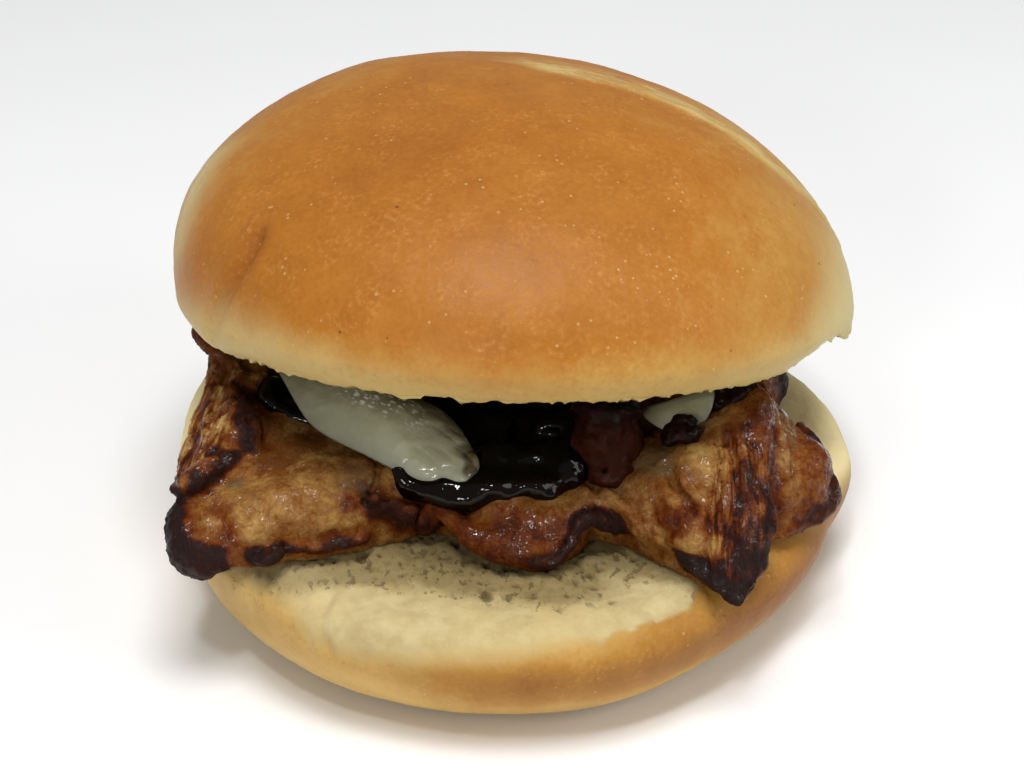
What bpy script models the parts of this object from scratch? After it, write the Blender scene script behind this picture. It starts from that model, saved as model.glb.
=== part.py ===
"""Teriyaki chicken burger: a split soft bun around a grilled thigh fillet.

From the bottom up: the bun's heel, one grilled boneless thigh fillet that runs
through the whole burger and hangs over the rim, a pool of dark teriyaki sauce,
a dark knob of sauced meat, two petals of cooked onion, two charred scraps and
the bun's crown, which sits tipped up at the front and shows the filling.

Every solid starts as a UV sphere whose latitude and azimuth are remapped by
the functions below. Sizes are in millimetres, with +Z up and the open front
of the burger towards -Y. The origin is the middle of the heel's flat foot.
"""

import math

import bmesh
import bpy
from mathutils import Euler, Vector

MM = 0.001

# Heel, the lower half of the bun
HEEL_R = 54.5            # radius at the cut
HEEL_H = 19.5            # height of the cut above the table
HEEL_FOOT_R = 43.0       # radius of the flat foot
HEEL_FOOT_SHIFT = -1.5   # the foot is a little off centre
HEEL_RIM_DROP = 1.6      # how far the torn rim rolls over
HEEL_DISH = 1.2          # the filling presses the crumb down by this much

# Crown, the upper half of the bun, in its own frame before it is tipped
CROWN_R = 53.9
CROWN_RISE = 34.7        # equator to top
CROWN_SIDE = 4.5         # rim to equator
CROWN_RIM_TUCK = 0.05    # the side tucks in by this share of the radius
CROWN_FULLNESS = 2.11    # superellipse power of the dome
CROWN_FULLER_RIGHT = 0.55
CROWN_FULLER_BACK = 0.39
CROWN_LEAN = (-10.3, 8.9)  # how far the top leans off the axis
CROWN_HOLLOW = 1.5       # the cut face is slightly hollow
CROWN_TILT = math.radians(13.5)
CROWN_ROLL = math.radians(1.3)
CROWN_AT = (0.4, 12.4, 36.5)

# Fillet
FILLET_R = 53.0
FILLET_LIFT = 0.6        # clearance over the heel
FILLET_TOP = 30.5        # height of its plain middle
FILLET_EDGE = 3.6        # superellipse power of its edge
FILLET_EDGE_SHARE = 0.2  # the edge's widest line, as a share of the thickness
FILLET_DROOP = 2.0       # how far the overhanging lobes hang past the rim
# outline lobes: azimuth and width in degrees, reach in mm
FILLET_LOBES = {
    "left_lobe": (218, 12.5, 13.0),
    "front_waist": (252, 28.0, -24.0),
    "tongue_side": (298, 18.0, -20.0),
    "slit": (301, 4.0, -12.5),
    "right_corner": (306.5, 8.5, 20.0),
    "right_lobe": (336, 8.5, 7.0),
    "right_back": (353, 15.0, -12.5),
    "back": (84, 80.0, -11.5),
}
# surface bumps: x, y, radius and height in mm
FILLET_BUMPS = {
    "curled_flap_back": (-46, 2, 9, 8.0),
    "curled_flap_front": (-44, -14, 8, 4.5),
    "left_lobe_fall": (-46, -37, 9, -5.0),
    "front_fall": (5, -34, 9, -4.0),
    "crease": (-15, -33, 5, -2.5),
    "pale_bulge": (27, -27, 8, 4.5),
    "ridge_front": (35, -21, 7, 7.0),
    "ridge_back": (38, -8, 8, 8.0),
    "right_lobe_fall": (49, -22, 8, -4.5),
    "corner_fall": (33, -43, 8, -7.0),
    "back_swell": (0, 24, 24, 5.0),
}

# Sauce pool over the fillet
SAUCE_AT = (-9, -12)
SAUCE_R = 18.5
SAUCE_DEPTH = 2.6
SAUCE_LOBES = {
    "left_streak": (187, 20, 12.0),
    "front_left_waist": (250, 16, -3.5),
    "front_spill": (294, 16, 2.5),
    "right_side": (0, 30, -3.0),
}

# Pieces that lie on the fillet and the sauce: middle, heading and half sizes
ONION_LARGE = dict(at=(-21.0, -15.5), turn=math.radians(-35), half=(19.0, 7.2), thick=2.6, arch=2.0)
ONION_SMALL = dict(at=(25.4, -17.8), turn=math.radians(4), half=(5.4, 4.4), thick=2.0, arch=3.0)
KNOB = dict(at=(14.0, -20.0), turn=math.radians(80), half=(7.4, 5.1), thick=9.0, arch=0.0)
SCRAP_A = dict(at=(25.2, -25.8), turn=math.radians(-8), half=(4.2, 2.0), thick=1.8, arch=0.2)
SCRAP_B = dict(at=(34.3, -17.6), turn=math.radians(12), half=(2.8, 2.2), thick=1.8, arch=0.2)

CLEAR = 0.7              # gap between a piece and what it lies on
CROWN_CLEAR = 0.6        # gap under the crown's cut face

# segments round and rings of each solid
DETAIL = {
    "bun_bottom": (44, 20), "chicken": (72, 20), "sauce": (40, 12),
    "onion_large": (28, 10), "onion_small": (18, 8), "chicken_chunk": (20, 10),
    "charred_bit_1": (14, 6), "charred_bit_2": (14, 6), "bun_top": (44, 24),
}


def smooth(t):
    t = min(max(t, 0.0), 1.0)
    return t * t * (3.0 - 2.0 * t)


def lobed(azimuth, base, lobes):
    """Radius of an outline made of a circle and named lobes."""
    deg = math.degrees(azimuth)
    out = base
    for at, width, reach in lobes.values():
        off = (deg - at + 180.0) % 360.0 - 180.0
        out += reach * math.exp(-(off / width) ** 2)
    return out


def superellipse(lat, power):
    """Edge profile: share of the radius and share of the half thickness."""
    a = lat * math.pi / 2.0
    return abs(math.cos(a)) ** (2.0 / power), math.copysign(abs(math.sin(a)) ** (2.0 / power), lat)


# ---------------------------------------------------------------- heel
def heel_top(x, y):
    rho = math.hypot(x, y)
    dish = HEEL_DISH * max(0.0, 1.0 - (rho / 46.0) ** 2)
    roll = HEEL_RIM_DROP * (1.0 - smooth((HEEL_R - rho) / 3.2))
    return HEEL_H - dish - roll


def heel_shape(azimuth, lat):
    c, s = math.cos(azimuth), math.sin(azimuth)
    if lat <= -0.5:
        rho = HEEL_FOOT_R * (lat + 1.0) / 0.5
        return rho * c + HEEL_FOOT_SHIFT, rho * s, 0.0
    if lat <= 0.3:
        a = (lat + 0.5) / 0.8 * 0.93
        rho = HEEL_FOOT_R + (HEEL_R - HEEL_FOOT_R) * math.sin(a * math.pi / 2.0) ** 0.8
        return rho * c + HEEL_FOOT_SHIFT * (1.0 - a), rho * s, HEEL_H * a ** 1.25
    t = 1.0 - (lat - 0.3) / 0.7
    t = 1.0 - (1.0 - t) ** 1.6
    x, y = (HEEL_R - 0.15) * t * c, (HEEL_R - 0.15) * t * s
    return x, y, heel_top(x, y)


# ---------------------------------------------------------------- crown
def crown_shape(azimuth, lat):
    """The crown in its own frame, with the cut face on z = 0."""
    c, s = math.cos(azimuth), math.sin(azimuth)
    if lat >= 0.0:
        a = lat * math.pi / 2.0
        power = CROWN_FULLNESS + CROWN_FULLER_RIGHT * c + CROWN_FULLER_BACK * s
        rho = CROWN_R * max(math.cos(a), 0.0) ** (2.0 / power)
        z = CROWN_SIDE + CROWN_RISE * math.sin(a) ** 0.9
    elif lat >= -0.3:
        k = -lat / 0.3
        rho = CROWN_R * (1.0 - CROWN_RIM_TUCK * k * k)
        z = CROWN_SIDE * (1.0 - k)
    else:
        t = 1.0 - (-lat - 0.3) / 0.7
        rho = CROWN_R * (1.0 - CROWN_RIM_TUCK) * t
        z = CROWN_HOLLOW * (1.0 - t * t)
    lean = (max(z - CROWN_SIDE, 0.0) / CROWN_RISE) ** 1.3
    return rho * c + CROWN_LEAN[0] * lean, rho * s + CROWN_LEAN[1] * lean, z


CROWN_TURN = Euler((-CROWN_TILT, CROWN_ROLL, 0.0), "YXZ")
CROWN_NORMAL = CROWN_TURN.to_matrix() @ Vector((0.0, 0.0, 1.0))


def crown_under(x, y):
    """Height of the crown's cut plane."""
    return CROWN_AT[2] - (CROWN_NORMAL.x * (x - CROWN_AT[0]) + CROWN_NORMAL.y * (y - CROWN_AT[1])) / CROWN_NORMAL.z


# ---------------------------------------------------------------- fillet
def fillet_faces(x, y):
    """Heights of the fillet's underside and top, before its edge is rounded."""
    low = heel_top(x, y) + FILLET_LIFT
    rho = math.hypot(x, y)
    if rho > HEEL_R - 4.0:
        low = HEEL_H + FILLET_LIFT - FILLET_DROOP * smooth((rho - HEEL_R - 0.8) / 3.0)
    high = FILLET_TOP
    for bx, by, radius, height in FILLET_BUMPS.values():
        high += height * math.exp(-((x - bx) ** 2 + (y - by) ** 2) / (radius * radius))
    return low, max(min(high, crown_under(x, y) - CROWN_CLEAR), low + 2.5)


def fillet_shape(azimuth, lat):
    r = lobed(azimuth, FILLET_R, FILLET_LOBES)
    s, h = superellipse(lat, FILLET_EDGE)
    x, y = r * s * math.cos(azimuth), r * s * math.sin(azimuth)
    low, high = fillet_faces(x, y)
    mid = low + FILLET_EDGE_SHARE * (high - low)
    return x, y, mid + h * ((high - mid) if h > 0 else (mid - low))


def fillet_skin(x, y):
    """Height of the fillet's real upper surface, its rounded edge included."""
    s = math.hypot(x, y) / lobed(math.atan2(y, x), FILLET_R, FILLET_LOBES)
    low, high = fillet_faces(x, y)
    mid = low + FILLET_EDGE_SHARE * (high - low)
    if s >= 1.0:
        return mid
    return mid + (high - mid) * (1.0 - s ** FILLET_EDGE) ** (1.0 / FILLET_EDGE)


# ---------------------------------------------------------------- sauce
def bed_under(skin, x, y, step=1.3):
    """Highest point of a skin just round (x, y), so that a slope keeps its gap."""
    return max(skin(x + i * step, y + j * step) for i in (-1, 0, 1) for j in (-1, 0, 1))


def sauce_reach(azimuth):
    return lobed(azimuth, SAUCE_R, SAUCE_LOBES)


def sauce_shape(azimuth, lat):
    s, h = superellipse(lat, 3.0)
    r = sauce_reach(azimuth)
    x = SAUCE_AT[0] + r * s * math.cos(azimuth)
    y = SAUCE_AT[1] + r * s * math.sin(azimuth)
    low = bed_under(fillet_skin, x, y, 0.8) + CLEAR
    high = min(low + SAUCE_DEPTH, crown_under(x, y) - CROWN_CLEAR)
    mid = low + 0.3 * (high - low)
    return x, y, mid + h * ((high - mid) if h > 0 else (mid - low))


def sauce_skin(x, y):
    """Top of the sauce, or the fillet where there is none."""
    dx, dy = x - SAUCE_AT[0], y - SAUCE_AT[1]
    s = math.hypot(dx, dy) / sauce_reach(math.atan2(dy, dx))
    skin = fillet_skin(x, y)
    return skin + (CLEAR + SAUCE_DEPTH) * (1.0 - smooth((s - 0.98) / 0.16))


# ---------------------------------------------------------------- toppings
def topping(at, turn, half, thick, arch, bed, power=2.6, point=0.0):
    """A slice or lump that lies on a bed: a superellipse in plan, arched across."""
    c, s = math.cos(turn), math.sin(turn)

    def shape(azimuth, lat):
        r, h = superellipse(lat, power)
        u, v = r * math.cos(azimuth), r * math.sin(azimuth)
        v *= 1.0 - point * u * u
        x = at[0] + half[0] * u * c - half[1] * v * s
        y = at[1] + half[0] * u * s + half[1] * v * c
        low = bed_under(bed, x, y) + CLEAR + arch * (1.0 - min(v * v, 1.0))
        high = min(low + thick, crown_under(x, y) - CROWN_CLEAR)
        low = min(low, high - 0.8)
        mid = 0.5 * (low + high)
        return x, y, mid + h * 0.5 * (high - low)

    return shape


# ---------------------------------------------------------------- scene
def finish(name, colour, roughness, coat=0.0):
    mat = bpy.data.materials.new(name)
    mat.use_nodes = True
    bsdf = mat.node_tree.nodes["Principled BSDF"]
    lin = [((v + 0.055) / 1.055) ** 2.4 if v > 0.04045 else v / 12.92 for v in colour]
    bsdf.inputs["Base Color"].default_value = (*lin, 1.0)
    bsdf.inputs["Roughness"].default_value = roughness
    bsdf.inputs["Metallic"].default_value = 0.0
    bsdf.inputs["Coat Weight"].default_value = coat
    mat.diffuse_color = (*lin, 1.0)
    return mat


def solid(name, shape, mat, collection):
    """A closed body: a UV sphere remapped by shape(azimuth, latitude)."""
    bm = bmesh.new()
    around, rings = DETAIL[name]
    bmesh.ops.create_uvsphere(bm, u_segments=around, v_segments=rings, radius=1.0)
    for vert in bm.verts:
        lat = math.asin(min(max(vert.co.z, -1.0), 1.0)) / (math.pi / 2.0)
        azimuth = math.atan2(vert.co.y, vert.co.x) if abs(lat) < 0.9999 else 0.0
        vert.co = Vector(shape(azimuth, lat)) * MM
    bmesh.ops.recalc_face_normals(bm, faces=bm.faces)
    mesh = bpy.data.meshes.new(name)
    bm.to_mesh(mesh)
    bm.free()
    mesh.shade_smooth()
    mesh.set_sharp_from_angle(angle=math.radians(50))
    mesh.materials.append(mat)
    obj = bpy.data.objects.new(name, mesh)
    collection.objects.link(obj)
    return obj


def main():
    for obj in list(bpy.data.objects):
        bpy.data.objects.remove(obj, do_unlink=True)
    burger = bpy.data.collections.new("teriyaki_chicken_burger")
    bpy.context.scene.collection.children.link(burger)

    crust = finish("bun_crust", (0.73, 0.49, 0.24), 0.45)
    heel_mat = finish("bun_heel", (0.80, 0.68, 0.48), 0.75)
    meat = finish("grilled_chicken", (0.56, 0.36, 0.20), 0.40, 0.4)
    dark_meat = finish("sauced_meat", (0.30, 0.15, 0.11), 0.35, 0.5)
    glaze = finish("teriyaki_sauce", (0.06, 0.055, 0.06), 0.08, 1.0)
    onion = finish("cooked_onion", (0.72, 0.70, 0.55), 0.30, 0.5)
    char = finish("char", (0.12, 0.07, 0.06), 0.60)

    solid("bun_bottom", heel_shape, heel_mat, burger)
    solid("chicken", fillet_shape, meat, burger)
    solid("sauce", sauce_shape, glaze, burger)
    solid("onion_large", topping(bed=sauce_skin, point=0.12, **ONION_LARGE), onion, burger)
    solid("onion_small", topping(bed=fillet_skin, **ONION_SMALL), onion, burger)
    solid("chicken_chunk", topping(bed=fillet_skin, power=2.3, **KNOB), dark_meat, burger)
    solid("charred_bit_1", topping(bed=fillet_skin, **SCRAP_A), char, burger)
    solid("charred_bit_2", topping(bed=fillet_skin, **SCRAP_B), char, burger)

    crown = solid("bun_top", crown_shape, crust, burger)
    crown.rotation_mode = "YXZ"
    crown.rotation_euler = (-CROWN_TILT, CROWN_ROLL, 0.0)
    crown.location = Vector(CROWN_AT) * MM


main()
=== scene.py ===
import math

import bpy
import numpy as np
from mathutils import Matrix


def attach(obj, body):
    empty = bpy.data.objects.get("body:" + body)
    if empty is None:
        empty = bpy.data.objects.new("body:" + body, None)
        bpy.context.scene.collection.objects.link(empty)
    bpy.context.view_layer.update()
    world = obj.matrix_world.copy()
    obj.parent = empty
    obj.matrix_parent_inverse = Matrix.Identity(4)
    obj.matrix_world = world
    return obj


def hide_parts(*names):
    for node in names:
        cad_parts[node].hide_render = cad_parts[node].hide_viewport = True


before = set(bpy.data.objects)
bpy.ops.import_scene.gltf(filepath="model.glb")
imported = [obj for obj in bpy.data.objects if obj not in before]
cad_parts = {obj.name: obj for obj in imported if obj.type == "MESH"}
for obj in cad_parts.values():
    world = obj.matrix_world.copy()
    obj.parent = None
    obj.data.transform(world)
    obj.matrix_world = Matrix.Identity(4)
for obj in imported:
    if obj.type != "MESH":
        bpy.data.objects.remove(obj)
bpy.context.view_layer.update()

# Looks of the teriyaki chicken burger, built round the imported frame.
# All shape functions work in millimetres, with the same origin and axes as the
# solids; meshes are written in metres. Surfaces are real geometry: numpy grids
# and surface nets, with masks stored as vertex attributes for the materials.

MM = 0.001


# ------------------------------------------------------------------ noise
def _hash(ix, iy, iz, seed):
    h = (ix.astype(np.int64) * 374761393 + iy.astype(np.int64) * 668265263
         + iz.astype(np.int64) * 1274126177 + seed * 974634777) & 0xFFFFFFFF
    h = h.astype(np.uint32)
    h ^= h >> np.uint32(15)
    h *= np.uint32(2246822519)
    h ^= h >> np.uint32(13)
    h *= np.uint32(3266489917)
    h ^= h >> np.uint32(16)
    return h.astype(np.float64) / 4294967295.0


def vnoise(p, size, seed=0):
    """Smooth value noise in -1..1; size is the feature size in mm."""
    q = np.asarray(p, float) / size
    i = np.floor(q).astype(np.int64)
    f = q - i
    f = f * f * f * (f * (f * 6 - 15) + 10)
    out = 0.0
    for dx in (0, 1):
        wx = f[..., 0] if dx else 1 - f[..., 0]
        for dy in (0, 1):
            wy = f[..., 1] if dy else 1 - f[..., 1]
            for dz in (0, 1):
                wz = f[..., 2] if dz else 1 - f[..., 2]
                out = out + wx * wy * wz * _hash(i[..., 0] + dx, i[..., 1] + dy, i[..., 2] + dz, seed)
    return out * 2 - 1


def fbm(p, size, octaves=4, seed=0, gain=0.5):
    out, amp, total = 0.0, 1.0, 0.0
    for o in range(octaves):
        out = out + amp * vnoise(np.asarray(p) + 17.3 * o, size / 2 ** o, seed + o)
        total += amp
        amp *= gain
    return out / total


def cells(p, size, seed=0):
    """Distance to the nearest scattered point, in units of size, and its random id."""
    q = np.asarray(p, float) / size
    i = np.floor(q).astype(np.int64)
    best = np.full(q.shape[:-1], 9.0)
    who = np.zeros(q.shape[:-1])
    for dx in (-1, 0, 1):
        for dy in (-1, 0, 1):
            for dz in (-1, 0, 1):
                cx, cy, cz = i[..., 0] + dx, i[..., 1] + dy, i[..., 2] + dz
                hx, hy, hz = (_hash(cx, cy, cz, seed + k) for k in (1, 2, 3))
                d = np.sqrt((cx + hx - q[..., 0]) ** 2 + (cy + hy - q[..., 1]) ** 2 + (cz + hz - q[..., 2]) ** 2)
                closer = d < best
                best = np.where(closer, d, best)
                who = np.where(closer, _hash(cx, cy, cz, seed + 9), who)
    return best, who


def smooth(t):
    t = np.clip(t, 0.0, 1.0)
    return t * t * (3 - 2 * t)


def step(x, lo, hi):
    return smooth((x - lo) / (hi - lo))


def bell(x, at, width):
    return np.exp(-((x - at) / width) ** 2)


def turn(deg, at, width):
    """Bell on a circle, in degrees."""
    return np.exp(-((((deg - at + 180) % 360) - 180) / width) ** 2)


def along(p, pts):
    """Distance from points to a polyline, and the share of its length."""
    pts = np.asarray(pts, float)
    seg = np.linalg.norm(pts[1:] - pts[:-1], axis=1)
    start = np.concatenate([[0], np.cumsum(seg)])
    best = np.full(p.shape[:-1], 1e9)
    where = np.zeros(p.shape[:-1])
    for k in range(len(seg)):
        d = pts[k + 1] - pts[k]
        t = np.clip(((p - pts[k]) @ d) / (d @ d), 0, 1)
        r = np.linalg.norm(p - (pts[k] + t[..., None] * d), axis=-1)
        closer = r < best
        best = np.where(closer, r, best)
        where = np.where(closer, (start[k] + t * seg[k]) / start[-1], where)
    return best, where


# ------------------------------------------------------------------ meshes
def make(name, verts_mm, faces, mat, attrs=None, sharp=None):
    """A mesh object from numpy arrays; faces is a list of index arrays."""
    mesh = bpy.data.meshes.new(name)
    verts = np.asarray(verts_mm, np.float32) * MM
    mesh.vertices.add(len(verts))
    mesh.vertices.foreach_set("co", verts.ravel())
    counts = np.concatenate([np.full(len(f), f.shape[1], np.int32) for f in faces])
    loops = np.concatenate([f.ravel() for f in faces]).astype(np.int32)
    mesh.loops.add(len(loops))
    mesh.loops.foreach_set("vertex_index", loops)
    mesh.polygons.add(len(counts))
    starts = np.concatenate([[0], np.cumsum(counts)[:-1]]).astype(np.int32)
    mesh.polygons.foreach_set("loop_start", starts)
    mesh.polygons.foreach_set("loop_total", counts)
    mesh.update(calc_edges=True)
    mesh.validate()
    mesh.shade_smooth()
    if sharp is not None:
        mesh.set_sharp_from_angle(angle=math.radians(sharp))
    for key, val in (attrs or {}).items():
        a = mesh.attributes.new(key, "FLOAT", "POINT")
        a.data.foreach_set("value", np.asarray(val, np.float32).ravel())
    mesh.materials.append(mat)
    obj = bpy.data.objects.new(name, mesh)
    bpy.context.scene.collection.objects.link(obj)
    return obj


def lathe(rows):
    """Vertices and faces of a closed body from rings; the first and last ring are poles."""
    rings = rows.shape[0] - 2
    n = rows.shape[1]
    verts = np.concatenate([rows[0, :1], rows[1:-1].reshape(-1, 3), rows[-1, :1]])
    j, i = np.meshgrid(np.arange(rings - 1), np.arange(n), indexing="ij")
    a = 1 + j * n + i
    b = 1 + j * n + (i + 1) % n
    quads = np.stack([a, a + n, b + n, b], -1).reshape(-1, 4)
    i = np.arange(n)
    top = np.stack([np.zeros(n, int), 1 + i, 1 + (i + 1) % n], -1)
    last = 1 + (rings - 1) * n
    low = np.stack([np.full(n, len(verts) - 1), last + (i + 1) % n, last + i], -1)
    return verts, [quads, top, low]


def per_vertex(grid):
    """Flatten a (rings, around) array the same way lathe() flattens its rows."""
    return np.concatenate([grid[0, :1], grid[1:-1].ravel(), grid[-1, :1]])


def grid_normals(rows):
    """Outward normals of a ring grid, from its own differences."""
    du = np.roll(rows, -1, 1) - np.roll(rows, 1, 1)
    dv = np.gradient(rows, axis=0)
    n = np.cross(dv, du)
    length = np.linalg.norm(n, axis=-1, keepdims=True)
    n = n / np.maximum(length, 1e-9)
    n[0] = n[1].mean(0) / np.linalg.norm(n[1].mean(0))
    n[-1] = n[-2].mean(0) / np.linalg.norm(n[-2].mean(0))
    return n


# ------------------------------------------------------------------ nodes
def lin(rgb):
    return tuple(((c / 255 + 0.055) / 1.055) ** 2.4 if c > 10.3 else c / 255 / 12.92 for c in rgb) + (1.0,)


class Mat:
    """A short way to write a node material."""

    def __init__(self, name, **inputs):
        self.mat = bpy.data.materials.new(name)
        self.mat.use_nodes = True
        self.t = self.mat.node_tree
        self.bsdf = self.t.nodes["Principled BSDF"]
        self.co = self.t.nodes.new("ShaderNodeTexCoord").outputs["Object"]
        for key, val in inputs.items():
            self.bsdf.inputs[key.replace("_", " ")].default_value = val

    def link(self, a, b):
        if isinstance(a, bpy.types.NodeSocket):
            self.t.links.new(a, b)
        else:
            b.default_value = a

    def node(self, kind, **props):
        n = self.t.nodes.new(kind)
        for k, v in props.items():
            setattr(n, k, v)
        return n

    def attr(self, name):
        return self.node("ShaderNodeAttribute", attribute_name=name).outputs["Fac"]

    def stretch(self, sx, sy, sz, rot=(0, 0, 0)):
        n = self.node("ShaderNodeMapping")
        self.link(self.co, n.inputs["Vector"])
        n.inputs["Scale"].default_value = (sx, sy, sz)
        n.inputs["Rotation"].default_value = rot
        return n.outputs["Vector"]

    def grain(self, rot, long):
        """Coordinates turned so that z runs with the fibres, then squeezed along it."""
        n = self.node("ShaderNodeMapping", vector_type="TEXTURE")
        self.link(self.co, n.inputs["Vector"])
        n.inputs["Rotation"].default_value = [math.radians(a) for a in rot]
        n.inputs["Scale"].default_value = (1, 1, long)
        return n.outputs["Vector"]

    def noise(self, size_mm, detail=4.0, rough=0.5, vec=None, distort=0.0, color=False):
        n = self.node("ShaderNodeTexNoise")
        self.link(vec if vec is not None else self.co, n.inputs["Vector"])
        n.inputs["Scale"].default_value = 1000.0 / size_mm
        n.inputs["Detail"].default_value = detail
        n.inputs["Roughness"].default_value = rough
        n.inputs["Distortion"].default_value = distort
        return n.outputs["Color" if color else "Fac"]

    def voronoi(self, size_mm, feature="F1", vec=None, out="Distance", rand=1.0):
        n = self.node("ShaderNodeTexVoronoi", feature=feature)
        self.link(vec if vec is not None else self.co, n.inputs["Vector"])
        n.inputs["Scale"].default_value = 1000.0 / size_mm
        n.inputs["Randomness"].default_value = rand
        return n.outputs[out]

    def ramp(self, fac, lo, hi, a=0.0, b=1.0, kind="SMOOTHSTEP"):
        n = self.node("ShaderNodeMapRange", interpolation_type=kind, clamp=True) if kind == "LINEAR" else self.node("ShaderNodeMapRange", interpolation_type=kind)
        self.link(fac, n.inputs["Value"])
        for key, val in (("From Min", lo), ("From Max", hi), ("To Min", a), ("To Max", b)):
            self.link(val, n.inputs[key])
        return n.outputs["Result"]

    def math(self, op, a, b=0.0, c=None):
        n = self.node("ShaderNodeMath", operation=op)
        self.link(a, n.inputs[0])
        self.link(b, n.inputs[1])
        if c is not None:
            self.link(c, n.inputs[2])
        return n.outputs[0]

    def mix(self, fac, a, b, mode="MIX"):
        n = self.node("ShaderNodeMix", data_type="RGBA", blend_type=mode)
        self.link(fac, n.inputs[0])
        self.link(a, n.inputs[6])
        self.link(b, n.inputs[7])
        return n.outputs[2]

    def mixf(self, fac, a, b):
        n = self.node("ShaderNodeMix", data_type="FLOAT")
        self.link(fac, n.inputs[0])
        self.link(a, n.inputs[2])
        self.link(b, n.inputs[3])
        return n.outputs[0]

    def bump(self, height, strength, distance_mm, normal=None):
        n = self.node("ShaderNodeBump")
        self.link(height, n.inputs["Height"])
        self.link(strength, n.inputs["Strength"])
        n.inputs["Distance"].default_value = distance_mm * MM
        if normal is not None:
            self.link(normal, n.inputs["Normal"])
        return n.outputs["Normal"]

    def set(self, **sockets):
        for key, val in sockets.items():
            self.link(val, self.bsdf.inputs[key.replace("_", " ")])
        return self.mat


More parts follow.
